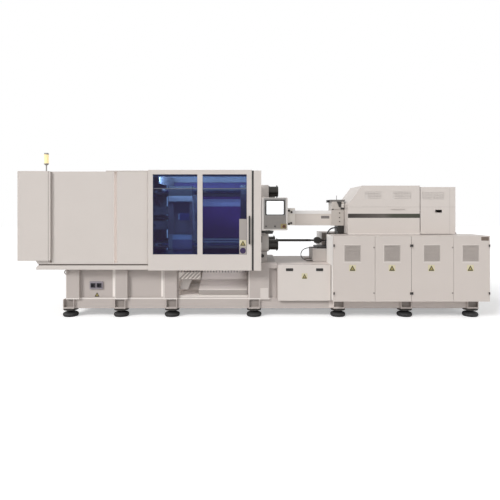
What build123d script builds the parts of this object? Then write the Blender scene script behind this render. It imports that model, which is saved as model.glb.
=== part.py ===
from build123d import *
import os
from math import acos, atan2, cos, degrees, hypot, radians, sin, sqrt

os.makedirs("parts", exist_ok=True)

# An all-electric injection moulding machine of about 3000 kN clamping force.
# X runs along the machine from the clamp's tail to the electrical cabinets,
# -Y is the operator's side, Z is up from the floor, and Y = 0 is the middle plane.

# Whole machine
tail_x = -3790
cabinet_right_x = 3790
axis_z = 1620
bed_half_width = 700
beam_half_width = bed_half_width - 40
guard_half_width = bed_half_width + 180
running_gap = 0.05
seat_gap = 0.3

# Levelling feet
foot_xs = [-3029, -2186, -1343, 17, 1409, 2517, 3611]
foot_y = beam_half_width - 60
foot_pad_radius = 124
foot_pad_height = 78
foot_plate_radius = 118
foot_plate_thickness = 22
foot_screw_radius = 24
beam_bottom = 135

# Beds
beam_width = 100
beam_top = 290
clamp_bed_left = -3090
bed_split_x = 390
beam_left = -3119
beam_right = 3712
panel_half_width = bed_half_width - 60
clamp_bed_top = 885
bed_table_thickness = 85
injection_bed_top = 855
spine_half_width = 250
column_spans = [(-3073, -2853), (-2270, -2062), (-1465, -1251), (-70, 265)]
bracket_rib = 12
bracket_spread = 84
drop_left = -1230
drop_right = -90
drop_bottom = 345
drop_back_wall = 40
drop_slot_half_width = 340
chute_sheet = 6

# Platens and tie bars
tie_pitch = 450
tie_radius = 60
platen_half = 560
fixed_platen_left = -209
fixed_platen_right = 263
locating_radius = 80
locating_depth = 120
nozzle_recess_radius = 170
mould_bolt_pitch = 560
mould_bolt_radius = 10
mould_bolt_depth = 60
nut_radius = 86
nut_length = 163
nut_flange_radius = 95
nut_flange_thickness = 18
moving_platen_thickness = 398
moving_half = 540
platen_rail_y = 400
platen_rail_width = 60
platen_rail_height = 45
platen_stroke = 560
tail_platen_left = -2760
tail_platen_right = -2410
tail_travel = 300
ejector_stroke = 120
ejector_rod_radius = 20

# Toggle linkage
pivot_rise = 130
tail_ear_reach = 230
moving_ear_reach = 300
closed_pivot_span = 1022
closed_link_angle = 4
rear_pin_radius = 30
knee_pin_radius = 28
crosshead_pin_radius = 20
eye_radius = 55
link_half_width = 46
rear_plate_inner = 100
plate_thickness = 60
plate_gap = 5
push_eye_offset = 300
push_link_length = 320
push_pivot_rise = 110
push_plate_inner = 45
push_plate_outer = 90
push_eye_radius = 38
push_half_width = 30
clamp_screw_radius = 40
crosshead_rod_radius = 18
crosshead_rod_y = 70
crosshead_length = 90
clamp_pulley_radius = 170
clamp_pulley_left = tail_platen_left - 440
clamp_pulley_width = 80
clamp_motor_rise = 350
clamp_motor_size = 230
clamp_motor_pulley_radius = 60

# Guards
cover_face_y = guard_half_width - 68
cover_depth = 50
cover_sheet = 3
cover_bottom = 904
cover_top = 2378
front_cover_span = (-3254, -2244)
middle_cover_span = (-2197, -1702)
end_cover_right = -3289
end_cover_half_width = guard_half_width - 20
end_cover_bottom = 939
end_cover_top = 2382
end_cover_sheet = 6
post_width = 60
roof_right = -1540
roof_skirt_bottom = 2194
roof_sheet = 4
rail_front_y = guard_half_width - 65
lower_rail_bottom = 792
lower_rail_top = 860
lower_rail_left = -3504
sill_groove = 24
sill_recess = 27
sill_slant = 37
door_left = -1684
door_right = -20
door_bottom = 785
door_top = 2399
door_thickness = 58
door_travel = 1540
window_bottom = 1044
window_top = 2327
left_window = (-1606, -892)
right_window = (-810, -102)
glass_thickness = 8
handle_x = -58
handle_low = 1208
handle_high = 1664
handle_radius = 13
handle_reach = 45
seal_right = 10
fixed_panel_right = 130
fixed_panel_top = 2388

# Operator's panel
hmi_left = 139.4
hmi_right = 551.9
hmi_bottom = 1428.6
hmi_top = 1955
hmi_face_y = 880
hmi_depth = 50
hmi_pivot_x = 256.6
hmi_hub_radius = 73
hmi_hub_height = 49

# Injection unit
carriage_left = 1045
carriage_right = 3300
carriage_top = 1084
carriage_half_width = 245
carriage_travel = 340
injection_rail_y = 180
injection_rail_width = 60
injection_rail_height = 30
neck_left = 1640
neck_right = 2900
neck_half_width = 225
deck_bottom = 1352
deck_thickness = 30
head_thickness = 120
front_head_x = 1640
rear_head_x = 2650
head_half_width = 300
head_top = 1870
guide_bar_radius = 30
guide_bar_y = 220
barrel_radius = 75
screw_radius = 30
barrel_left = 20
nozzle_tip_x = -85
throat_left = 1386
throat_right = 1606
throat_half_width = 170
throat_below_axis = 137
throat_step_height = 276
throat_upper_height = 148
throat_bottom = axis_z - throat_below_axis
throat_step = throat_bottom + throat_step_height
throat_top = throat_step + throat_upper_height
feed_hole_radius = 45
hopper_plate_left = 1372
hopper_plate_right = 1622
hopper_plate_thickness = 28
shutter_thickness = 10
shutter_travel = 120
hopper_bolt_pitch = 140
barrel_cover_left = 743
barrel_cover_half_width = 150
barrel_cover_bottom = 1487
barrel_cover_top = 1747
barrel_cover_sheet = 5
end_block_left = 616
end_block_top = 1791
cover_half_width = 440
injection_cover_left = 1614
injection_cover_right = 2838
injection_cover_slope_x = 1856
injection_cover_slope_z = 1849
injection_cover_top = 2172
injection_cover_bottom = 1350
motor_cover_left = 2849
motor_cover_right = 3443
motor_cover_top = 2148
thin_wall = 5
vent_top = 2075
vent_pitch = 26
vent_hole = 5
plate_x = 2000
plate_thickness_x = 120
metering_stroke = 200
drive_screw_radius = 35
drive_screw_left = 2360
touch_z = 1214
touch_bar_radius = 17
clevis_left = 1102
clevis_right = 1235
touch_rod_radius = 12
touch_cylinder_radius = 42
touch_cylinder_left = 1334
touch_rod_right = 1880

# Bed covers and electrical cabinets
bed_cover_span = (409, 1268)
bed_cover_bottom = 273
bed_cover_depth = 25
grip_centres = (597, 1088)
grip_size = (114, 48)
grip_z = 778
cabinet_left = 1283
cabinet_top = 1340
cabinet_inner_y = 260
cabinet_wall = 25
cabinet_door_depth = 40
door_seams = (1952, 2534, 3209)
door_seam_gap = 4
hinge_radius = 11
hinge_length = 60
hinge_zs = (423, 1186)
grille_centres = (1591, 2225, 2861, 3482)
grille_size = 258
grille_z = 1063
louvre_count = 11

fixed_platen_z = axis_z - platen_half
door_back_y = guard_half_width - door_thickness
tail_pivot_x = tail_platen_right + tail_ear_reach
link_length = closed_pivot_span / (2 * cos(radians(closed_link_angle)))
open_pivot_span = closed_pivot_span - platen_stroke
moving_pivot_x = tail_pivot_x + open_pivot_span
moving_platen_left = moving_pivot_x + moving_ear_reach
moving_platen_right = moving_platen_left + moving_platen_thickness
die_height_nut_length = 130
tie_left = tail_platen_left - die_height_nut_length - tail_travel - 110
hanger_xs = (-740, -160)
hanger_width = 90
upper_rail_left = hanger_xs[0] - hanger_width / 2 - door_travel - 52
open_link_angle = degrees(acos(open_pivot_span / (2 * link_length)))
knee_x = tail_pivot_x + link_length * cos(radians(open_link_angle))
knee_rise = pivot_rise + link_length * sin(radians(open_link_angle))
push_eye_x = tail_pivot_x + push_eye_offset * cos(radians(open_link_angle))
push_eye_rise = pivot_rise + push_eye_offset * sin(radians(open_link_angle))
crosshead_x = push_eye_x + sqrt(push_link_length**2 - (push_eye_rise - push_pivot_rise) ** 2)
rear_plate_outer = rear_plate_inner + plate_thickness
front_plate_inner = rear_plate_outer + plate_gap
front_plate_outer = front_plate_inner + plate_thickness
platen_rail_top = clamp_bed_top + platen_rail_height
rail_clear = platen_rail_top + seat_gap
slide_rod_right = crosshead_x + 425

closed_eye_x = tail_pivot_x + push_eye_offset * cos(radians(closed_link_angle))
closed_eye_rise = pivot_rise + push_eye_offset * sin(radians(closed_link_angle))
closed_crosshead_x = closed_eye_x + sqrt(
    push_link_length**2 - (closed_eye_rise - push_pivot_rise) ** 2
)
crosshead_travel = closed_crosshead_x - crosshead_x
push_angle_open = degrees(atan2(push_eye_rise - push_pivot_rise, push_eye_x - crosshead_x))
push_angle_closed = degrees(
    atan2(closed_eye_rise - push_pivot_rise, closed_eye_x - closed_crosshead_x)
)
print("link angle", open_link_angle, "to", closed_link_angle)
print("push link angle", push_angle_open, "to", push_angle_closed)
print("crosshead", crosshead_x, "travel", crosshead_travel)
print("pivots", tail_pivot_x, moving_pivot_x, "knee", knee_x, knee_rise)


# Clamp bed: a welded steel table on box columns, with the product drop through it
with BuildPart() as clamp_bed:
    with BuildSketch(Plane.XZ.offset(-panel_half_width)):
        with BuildLine():
            Polyline(
                (clamp_bed_left, beam_top),
                (bed_split_x, beam_top),
                (bed_split_x, clamp_bed_top),
                (clamp_bed_left, clamp_bed_top),
                close=True,
            )
        make_face()
    extrude(amount=2 * panel_half_width)
    drop_height = clamp_bed_top - bed_table_thickness - drop_bottom
    drop_depth = 2 * panel_half_width - drop_back_wall
    drop_y = (drop_depth - 2 * panel_half_width) / 2
    with Locations(((drop_left + drop_right) / 2, drop_y, drop_bottom + drop_height / 2)):
        Box(drop_right - drop_left, drop_depth, drop_height, mode=Mode.SUBTRACT)
    with Locations(((clamp_bed_left + bed_split_x) / 2, 0, clamp_bed_top - bed_table_thickness / 2)):
        Box(bed_split_x - clamp_bed_left, 2 * bed_half_width, bed_table_thickness)
    with Locations(((clamp_bed_left + bed_split_x) / 2, 0, beam_top + 12)):
        Box(bed_split_x - clamp_bed_left, 2 * beam_half_width, 24)
    for column_left, column_right in column_spans:
        for side_sign in (-1, 1):
            centre_y = side_sign * (panel_half_width + bed_half_width) / 2
            column_height = clamp_bed_top - bed_table_thickness - beam_top
            with Locations(((column_left + column_right) / 2, centre_y, beam_top + column_height / 2)):
                Box(column_right - column_left, bed_half_width - panel_half_width, column_height)
    for side_sign in (-1, 1):
        beam_y = side_sign * (beam_half_width - beam_width / 2)
        with Locations(((beam_left + bed_split_x) / 2, beam_y, (beam_bottom + beam_top) / 2)):
            Box(bed_split_x - beam_left, beam_width, beam_top - beam_bottom)
    for foot_x in foot_xs[:4]:
        with Locations((foot_x, 0, (beam_bottom + beam_top) / 2)):
            Box(beam_width, 2 * beam_half_width - beam_width, beam_top - beam_bottom)
        for side_sign in (-1, 1):
            for rib_side in (-1, 1):
                rib_x = foot_x + rib_side * bracket_spread
                rib_y = side_sign * (beam_half_width + bed_half_width) / 2
                with Locations((rib_x, rib_y, (beam_bottom + beam_top) / 2)):
                    Box(bracket_rib, bed_half_width - beam_half_width, beam_top - beam_bottom)
            with Locations((foot_x, rib_y, beam_bottom + bracket_rib)):
                Box(2 * bracket_spread, bed_half_width - beam_half_width, 2 * bracket_rib)
    drop_slot_left = moving_platen_right + 20
    drop_slot_right = fixed_platen_left - 20
    with Locations(((drop_slot_left + drop_slot_right) / 2, 0, clamp_bed_top - bed_table_thickness / 2)):
        Box(
            drop_slot_right - drop_slot_left,
            2 * drop_slot_half_width,
            bed_table_thickness + 2,
            mode=Mode.SUBTRACT,
        )
    for rail_side in (-1, 1):
        rail_length = fixed_platen_left - clamp_bed_left - 40
        rail_x = clamp_bed_left + 20 + rail_length / 2
        with Locations((rail_x, rail_side * platen_rail_y, clamp_bed_top + platen_rail_height / 2)):
            Box(rail_length, platen_rail_width, platen_rail_height)
    with Locations(Location((clamp_bed_left + 32, -bed_half_width - 6, clamp_bed_top - 150), (90, 0, 0))):
        Torus(32, 8)
clamp_bed.part.label = "clamp_bed"
export_step(clamp_bed.part, "parts/clamp_bed.step")

# Injection bed: full width beside the clamp, a narrow spine between the cabinets
with BuildPart() as injection_bed:
    with Locations(((bed_split_x + cabinet_left) / 2, 0, (beam_top + injection_bed_top) / 2)):
        Box(cabinet_left - bed_split_x - 4, 2 * bed_half_width, injection_bed_top - beam_top)
    with Locations(((cabinet_left + beam_right) / 2, 0, (beam_top + injection_bed_top) / 2)):
        Box(beam_right - cabinet_left + 20, 2 * spine_half_width, injection_bed_top - beam_top)
    for side_sign in (-1, 1):
        beam_y = side_sign * (beam_half_width - beam_width / 2)
        with Locations(((bed_split_x + beam_right) / 2, beam_y, (beam_bottom + beam_top) / 2)):
            Box(beam_right - bed_split_x, beam_width, beam_top - beam_bottom)
    for foot_x in foot_xs[4:]:
        with Locations((foot_x, 0, (beam_bottom + beam_top) / 2)):
            Box(beam_width, 2 * beam_half_width - beam_width, beam_top - beam_bottom)
        for side_sign in (-1, 1):
            for rib_side in (-1, 1):
                rib_x = foot_x + rib_side * bracket_spread
                rib_y = side_sign * (beam_half_width + bed_half_width) / 2
                with Locations((rib_x, rib_y, (beam_bottom + beam_top) / 2)):
                    Box(bracket_rib, bed_half_width - beam_half_width, beam_top - beam_bottom)
            with Locations((foot_x, rib_y, beam_bottom + bracket_rib)):
                Box(2 * bracket_spread, bed_half_width - beam_half_width, 2 * bracket_rib)
    for spine_x in (bed_split_x + 60, beam_right - 60):
        with Locations((spine_x, 0, (beam_bottom + beam_top) / 2)):
            Box(120, 2 * beam_half_width - beam_width, beam_top - beam_bottom)
    for rail_side in (-1, 1):
        rail_left = carriage_left - 100
        rail_right_end = carriage_right + carriage_travel + 50
        with Locations(
            (
                (rail_left + rail_right_end) / 2,
                rail_side * injection_rail_y,
                injection_bed_top + injection_rail_height / 2,
            )
        ):
            Box(rail_right_end - rail_left, injection_rail_width, injection_rail_height)
injection_bed.part.label = "injection_bed"
export_step(injection_bed.part, "parts/injection_bed.step")

# Removable sheet covers on both sides of the injection bed, with pressed grips
with BuildPart() as bed_covers:
    for side_sign in (-1, 1):
        cover_y = side_sign * (bed_half_width + bed_cover_depth / 2)
        cover_high = injection_bed_top + 3
        with Locations((sum(bed_cover_span) / 2, cover_y, (bed_cover_bottom + cover_high) / 2)):
            Box(bed_cover_span[1] - bed_cover_span[0], bed_cover_depth, cover_high - bed_cover_bottom)
        for grip_x in grip_centres:
            with Locations((grip_x, side_sign * (bed_half_width + bed_cover_depth - 8), grip_z)):
                Box(grip_size[0], 16, grip_size[1], mode=Mode.SUBTRACT)
bed_covers.part.label = "bed_covers"
export_step(bed_covers.part, "parts/bed_covers.step")

# Levelling feet: a moulded pad turned like a bell, under each foot bracket
foot_places = [(foot_x, side_sign * foot_y) for foot_x in foot_xs for side_sign in (-1, 1)]
pad_spigot_radius = foot_screw_radius + 18
foot_plate_bottom = beam_bottom - foot_plate_thickness - 7
with BuildPart() as levelling_pads:
    with BuildSketch(Plane.XZ):
        with BuildLine():
            rim_start = (foot_pad_radius - 14, 0)
            rim_side = (foot_pad_radius, 20)
            Line((0, 0), rim_start)
            Line(rim_start, rim_side)
            Line(rim_side, (foot_pad_radius, 34))
            Spline(
                (foot_pad_radius, 34),
                (foot_pad_radius - 26, 66),
                (pad_spigot_radius, foot_pad_height),
                tangents=((0, 1), (-1, 0.1)),
            )
            Line((pad_spigot_radius, foot_pad_height), (0, foot_pad_height))
            Line((0, foot_pad_height), (0, 0))
        make_face()
    revolve(axis=Axis.Z)
foot_pad = levelling_pads.part
with BuildPart() as levelling_pads:
    with Locations([(x, y, 0) for x, y in foot_places]):
        add(foot_pad)
levelling_pads.part.label = "levelling_pads"
export_step(levelling_pads.part, "parts/levelling_pads.step")

# Levelling screws with their loose plates, from the pads up into the beams
with BuildPart() as levelling_screws:
    with Locations([(x, y, foot_pad_height) for x, y in foot_places]):
        Cylinder(
            foot_screw_radius,
            beam_bottom - foot_pad_height,
            align=(Align.CENTER, Align.CENTER, Align.MIN),
        )
    with Locations([(x, y, foot_plate_bottom) for x, y in foot_places]):
        Cylinder(
            foot_plate_radius,
            foot_plate_thickness,
            align=(Align.CENTER, Align.CENTER, Align.MIN),
        )
levelling_screws.part.label = "levelling_screws"
export_step(levelling_screws.part, "parts/levelling_screws.step")

# Product chute: a folded sheet that slopes from the back of the drop to the front
chute_back = (520, clamp_bed_top - bed_table_thickness - 30)
chute_front = (-panel_half_width + 60, 425)
chute_left = -905
with BuildPart() as product_chute:
    with BuildSketch(Plane.YZ.offset(chute_left)):
        with BuildLine():
            chute_line = Polyline(
                (chute_back[0], drop_bottom),
                chute_back,
                chute_front,
                (chute_front[0], drop_bottom),
            )
            offset(chute_line, amount=chute_sheet, side=Side.RIGHT)
        make_face()
    extrude(amount=drop_right - 10 - chute_left)
    with BuildSketch(Plane.YZ.offset(chute_left)):
        with BuildLine():
            Polyline(
                (chute_back[0], drop_bottom),
                chute_back,
                chute_front,
                (chute_front[0], drop_bottom),
                close=True,
            )
        make_face()
    extrude(amount=chute_sheet)
product_chute.part.label = "product_chute"
export_step(product_chute.part, "parts/product_chute.step")

# Stationary platen: a ribbed casting with bosses for the tie bars
with BuildPart() as stationary_platen:
    with BuildSketch(Plane.YZ.offset(fixed_platen_left)):
        with Locations((0, axis_z)):
            RectangleRounded(2 * platen_half, 2 * platen_half, 60)
    extrude(amount=fixed_platen_right - fixed_platen_left)
    pocket_depth = 300
    pocket_length = 2 * tie_pitch - 2 * nut_flange_radius - 60
    with BuildSketch(Plane.YZ.offset(fixed_platen_right)):
        for turn in range(4):
            with Locations(Location((0, axis_z), 90 * turn)):
                with Locations((platen_half - 55, 0)):
                    RectangleRounded(110.5, pocket_length, 40)
    extrude(amount=-pocket_depth, mode=Mode.SUBTRACT)
    with Locations(Plane.YZ.offset(fixed_platen_left)):
        with Locations([(y, axis_z + z) for y in (-tie_pitch, tie_pitch) for z in (-tie_pitch, tie_pitch)]):
            Cylinder(
                tie_radius + running_gap,
                2 * (fixed_platen_right - fixed_platen_left),
                mode=Mode.SUBTRACT,
            )
        with Locations((0, axis_z)):
            Cylinder(locating_radius, 2 * locating_depth, mode=Mode.SUBTRACT)
            Cylinder(55, 2 * (fixed_platen_right - fixed_platen_left), mode=Mode.SUBTRACT)
    with BuildSketch(Plane.YZ.offset(fixed_platen_right)):
        with Locations((0, axis_z)):
            Circle(nozzle_recess_radius)
    mouth_depth = fixed_platen_right - fixed_platen_left - locating_depth - 40
    extrude(amount=-mouth_depth, taper=8, mode=Mode.SUBTRACT)
    half_pitch = mould_bolt_pitch / 2
    bolt_places = [(y, axis_z + z) for y in (-half_pitch, half_pitch) for z in (-half_pitch, half_pitch)]
    with Locations(Plane.YZ.offset(fixed_platen_left)):
        with Locations(bolt_places):
            Cylinder(mould_bolt_radius, 2 * mould_bolt_depth, mode=Mode.SUBTRACT)
    with Locations((fixed_platen_left + 236, 0, (clamp_bed_top + fixed_platen_z) / 2)):
        Box(420, 2 * platen_half - 40, fixed_platen_z - clamp_bed_top)
    with Locations((fixed_platen_left + 236, 0, (clamp_bed_top + fixed_platen_z) / 2)):
        Box(422, 520, fixed_platen_z - clamp_bed_top, mode=Mode.SUBTRACT)
stationary_platen.part.label = "stationary_platen"
export_step(stationary_platen.part, "parts/stationary_platen.step")

# Four tie bars, turned from solid bar
tie_places = [(y, axis_z + z) for y in (-tie_pitch, tie_pitch) for z in (-tie_pitch, tie_pitch)]
tie_right = fixed_platen_right + nut_length - 20
with BuildPart() as tie_bars:
    with BuildSketch(Plane.YZ.offset(tie_left)):
        with Locations(tie_places):
            Circle(tie_radius)
    extrude(amount=tie_right - tie_left)
tie_bars.part.label = "tie_bars"
export_step(tie_bars.part, "parts/tie_bars.step")

# Tie bar nuts at the stationary platen: a flanged cap with four keeper lugs each
with BuildPart() as tie_bar_nuts:
    with BuildSketch(Plane.YZ.offset(fixed_platen_right)):
        with Locations(tie_places):
            Circle(nut_radius)
    extrude(amount=nut_length)
    with BuildSketch(Plane.YZ.offset(fixed_platen_right + nut_length - 30)):
        with Locations(tie_places):
            Circle(nut_flange_radius)
            Rectangle(2 * nut_flange_radius + 16, 34)
            Rectangle(34, 2 * nut_flange_radius + 16)
    extrude(amount=nut_flange_thickness)
    with BuildSketch(Plane.YZ.offset(fixed_platen_right)):
        with Locations(tie_places):
            Circle(nut_flange_radius)
    extrude(amount=nut_flange_thickness)
    with BuildSketch(Plane.YZ.offset(fixed_platen_right)):
        with Locations(tie_places):
            Circle(tie_radius + running_gap)
    extrude(amount=nut_length - 20, mode=Mode.SUBTRACT)
tie_bar_nuts.part.label = "tie_bar_nuts"
export_step(tie_bar_nuts.part, "parts/tie_bar_nuts.step")

# Moving platen with its toggle ears, ejector chamber and shoes on the bed rails
ear_inner = front_plate_outer + plate_gap
ear_outer = ear_inner + plate_thickness
chamber_half = 150
chamber_depth = ejector_stroke + 80
with BuildPart() as moving_platen:
    with BuildSketch(Plane.YZ.offset(moving_platen_left)):
        with Locations((0, axis_z)):
            RectangleRounded(2 * moving_half, 2 * moving_half, 50)
    extrude(amount=moving_platen_thickness)
    with BuildSketch(Plane.XZ.offset(moving_half)):
        with Locations((moving_platen_left + moving_platen_thickness / 2 + 20, axis_z)):
            RectangleRounded(moving_platen_thickness - 130, 2 * tie_pitch - 340, 40)
    extrude(amount=-70, mode=Mode.SUBTRACT)
    with BuildSketch(Plane.XZ.offset(-moving_half)):
        with Locations((moving_platen_left + moving_platen_thickness / 2 + 20, axis_z)):
            RectangleRounded(moving_platen_thickness - 130, 2 * tie_pitch - 340, 40)
    extrude(amount=70, mode=Mode.SUBTRACT)
    for rise in (-pivot_rise, pivot_rise):
        for ear_side in (-1, 1):
            ear_start = ear_inner if ear_side > 0 else -ear_outer
            with BuildSketch(Plane.XZ.offset(-ear_start - plate_thickness)):
                with Locations((moving_pivot_x, axis_z + rise)):
                    Circle(eye_radius + 15)
                with Locations(((moving_pivot_x + moving_platen_left) / 2, axis_z + rise)):
                    Rectangle(moving_platen_left - moving_pivot_x, 2 * eye_radius + 30)
                with Locations((moving_pivot_x, axis_z + rise)):
                    Circle(rear_pin_radius, mode=Mode.SUBTRACT)
            extrude(amount=plate_thickness)
    with Locations(Plane.YZ.offset(moving_platen_left)):
        with Locations(tie_places):
            Cylinder(tie_radius + running_gap, 2 * moving_platen_thickness + 10, mode=Mode.SUBTRACT)
    with Locations((moving_platen_left + chamber_depth / 2, 0, axis_z)):
        Box(chamber_depth, 2 * chamber_half, 2 * chamber_half, mode=Mode.SUBTRACT)
    with Locations(Plane.YZ.offset(moving_platen_right)):
        with Locations((0, axis_z)):
            Cylinder(locating_radius, 2 * 40, mode=Mode.SUBTRACT)
        with Locations(bolt_places):
            Cylinder(mould_bolt_radius, 2 * mould_bolt_depth, mode=Mode.SUBTRACT)
        with Locations([(0, axis_z), (-105, axis_z), (105, axis_z)]):
            Cylinder(ejector_rod_radius + running_gap, 2 * moving_platen_thickness, mode=Mode.SUBTRACT)
    shoe_high = axis_z - moving_half
    for shoe_side in (-1, 1):
        shoe_x = moving_platen_left + moving_platen_thickness / 2 - 30
        with Locations((shoe_x, shoe_side * platen_rail_y, (rail_clear + shoe_high) / 2)):
            Box(moving_platen_thickness + 60, platen_rail_width + 60, shoe_high - rail_clear)
moving_platen.part.label = "moving_platen"
export_step(moving_platen.part, "parts/moving_platen.step")

# Ejector: a plate in the moving platen's chamber with three rods through its face
ejector_x = moving_platen_left + 20
with BuildPart() as ejector:
    with Locations((ejector_x + 15, 0, axis_z)):
        Box(30, 2 * chamber_half - 20, 120)
    with BuildSketch(Plane.YZ.offset(ejector_x)):
        with Locations([(0, axis_z), (-105, axis_z), (105, axis_z)]):
            Circle(ejector_rod_radius)
    extrude(amount=moving_platen_right - 45 - ejector_x)
ejector.part.label = "ejector"
export_step(ejector.part, "parts/ejector.step")

# Tail platen: carries the toggle, the crosshead rods and the die height nuts
tail_thickness = tail_platen_right - tail_platen_left
with BuildPart() as tail_platen:
    with BuildSketch(Plane.YZ.offset(tail_platen_left)):
        with Locations((0, axis_z)):
            RectangleRounded(2 * moving_half, 2 * moving_half, 50)
    extrude(amount=tail_thickness)
    for rise in (-pivot_rise, pivot_rise):
        for ear_side in (-1, 1):
            ear_start = front_plate_inner if ear_side > 0 else -front_plate_outer
            with BuildSketch(Plane.XZ.offset(-ear_start - plate_thickness)):
                with Locations((tail_pivot_x, axis_z + rise)):
                    Circle(eye_radius + 15)
                with Locations(((tail_pivot_x + tail_platen_right) / 2, axis_z + rise)):
                    Rectangle(tail_pivot_x - tail_platen_right, 2 * eye_radius + 30)
            extrude(amount=plate_thickness)
        with BuildSketch(Plane.XZ.offset(-front_plate_outer)):
            with Locations((tail_pivot_x, axis_z + rise)):
                Circle(rear_pin_radius)
        extrude(amount=2 * front_plate_outer)
    with BuildSketch(Plane.YZ.offset(tail_platen_left - die_height_nut_length)):
        with Locations(tie_places):
            Circle(nut_flange_radius)
    extrude(amount=die_height_nut_length)
    with Locations(Plane.YZ.offset(tail_platen_left)):
        with Locations(tie_places):
            Cylinder(tie_radius + running_gap, 2 * tail_thickness + 10, mode=Mode.SUBTRACT)
        with Locations((0, axis_z)):
            Cylinder(clamp_screw_radius + running_gap, 2 * tail_thickness + 10, mode=Mode.SUBTRACT)
    with BuildSketch(Plane.YZ.offset(tail_platen_right)):
        with Locations([(-crosshead_rod_y, axis_z), (crosshead_rod_y, axis_z)]):
            Circle(crosshead_rod_radius)
    extrude(amount=slide_rod_right - tail_platen_right)
    for shoe_side in (-1, 1):
        with Locations(
            (tail_platen_left + tail_thickness / 2, shoe_side * platen_rail_y, (rail_clear + shoe_high) / 2)
        ):
            Box(tail_thickness, platen_rail_width + 60, shoe_high - rail_clear)
tail_platen.part.label = "tail_platen"
export_step(tail_platen.part, "parts/tail_platen.step")

# Clamp motor on the tail platen, with its drive pulley
motor_left = clamp_pulley_left + clamp_pulley_width + 20
with BuildPart() as clamp_motor:
    with BuildSketch(Plane.YZ.offset(motor_left)):
        with Locations((0, axis_z + clamp_motor_rise)):
            RectangleRounded(clamp_motor_size, clamp_motor_size, 30)
    extrude(amount=tail_platen_left - motor_left)
    with BuildSketch(Plane.YZ.offset(clamp_pulley_left)):
        with Locations((0, axis_z + clamp_motor_rise)):
            Circle(clamp_motor_pulley_radius)
    extrude(amount=clamp_pulley_width)
    with BuildSketch(Plane.YZ.offset(clamp_pulley_left)):
        with Locations((0, axis_z + clamp_motor_rise)):
            Circle(25)
    extrude(amount=clamp_pulley_width + 20)
clamp_motor.part.label = "clamp_motor"
export_step(clamp_motor.part, "parts/clamp_motor.step")

# Clamp ball screw with its pulley
with BuildPart() as clamp_screw:
    with BuildSketch(Plane.YZ.offset(clamp_pulley_left)):
        with Locations((0, axis_z)):
            Circle(clamp_screw_radius)
    extrude(amount=slide_rod_right - clamp_pulley_left)
    with BuildSketch(Plane.YZ.offset(clamp_pulley_left)):
        with Locations((0, axis_z)):
            Circle(clamp_pulley_radius)
    extrude(amount=clamp_pulley_width)
    chamfer(clamp_screw.faces().sort_by(Axis.X)[-1].edges(), 6)
clamp_screw.part.label = "clamp_screw"
export_step(clamp_screw.part, "parts/clamp_screw.step")

# Crosshead: the ball screw's nut block, with one lug up and one down
with BuildPart() as crosshead:
    with Locations((crosshead_x, 0, axis_z)):
        Box(crosshead_length, 2 * (crosshead_rod_y + crosshead_rod_radius + 12), 96)
    lug_half = push_plate_inner - plate_gap
    with BuildSketch(Plane.XZ.offset(-lug_half)):
        with Locations((crosshead_x, axis_z)):
            Rectangle(2 * push_eye_radius, 2 * push_pivot_rise)
        with Locations((crosshead_x, axis_z - push_pivot_rise), (crosshead_x, axis_z + push_pivot_rise)):
            Circle(push_eye_radius)
    extrude(amount=2 * lug_half)
    with BuildSketch(Plane.XZ.offset(-push_plate_outer)):
        with Locations((crosshead_x, axis_z - push_pivot_rise), (crosshead_x, axis_z + push_pivot_rise)):
            Circle(crosshead_pin_radius)
    extrude(amount=2 * push_plate_outer)
    with Locations(Plane.YZ.offset(crosshead_x)):
        with Locations((0, axis_z)):
            Cylinder(clamp_screw_radius + running_gap, 2 * crosshead_length, mode=Mode.SUBTRACT)
        with Locations([(-crosshead_rod_y, axis_z), (crosshead_rod_y, axis_z)]):
            Cylinder(crosshead_rod_radius + running_gap, 2 * crosshead_length, mode=Mode.SUBTRACT)
crosshead.part.label = "crosshead"
export_step(crosshead.part, "parts/crosshead.step")


def link_outline(start, end, half_width, start_eye, end_eye):
    """A flat link's outline between two pivots, drawn in the XZ plane."""
    length = hypot(end[0] - start[0], end[1] - start[1])
    angle = degrees(atan2(end[1] - start[1], end[0] - start[0]))
    with Locations(Location(((start[0] + end[0]) / 2, (start[1] + end[1]) / 2), angle)):
        Rectangle(length, 2 * half_width)
    with Locations(start):
        Circle(start_eye)
    with Locations(end):
        Circle(end_eye)


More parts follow.
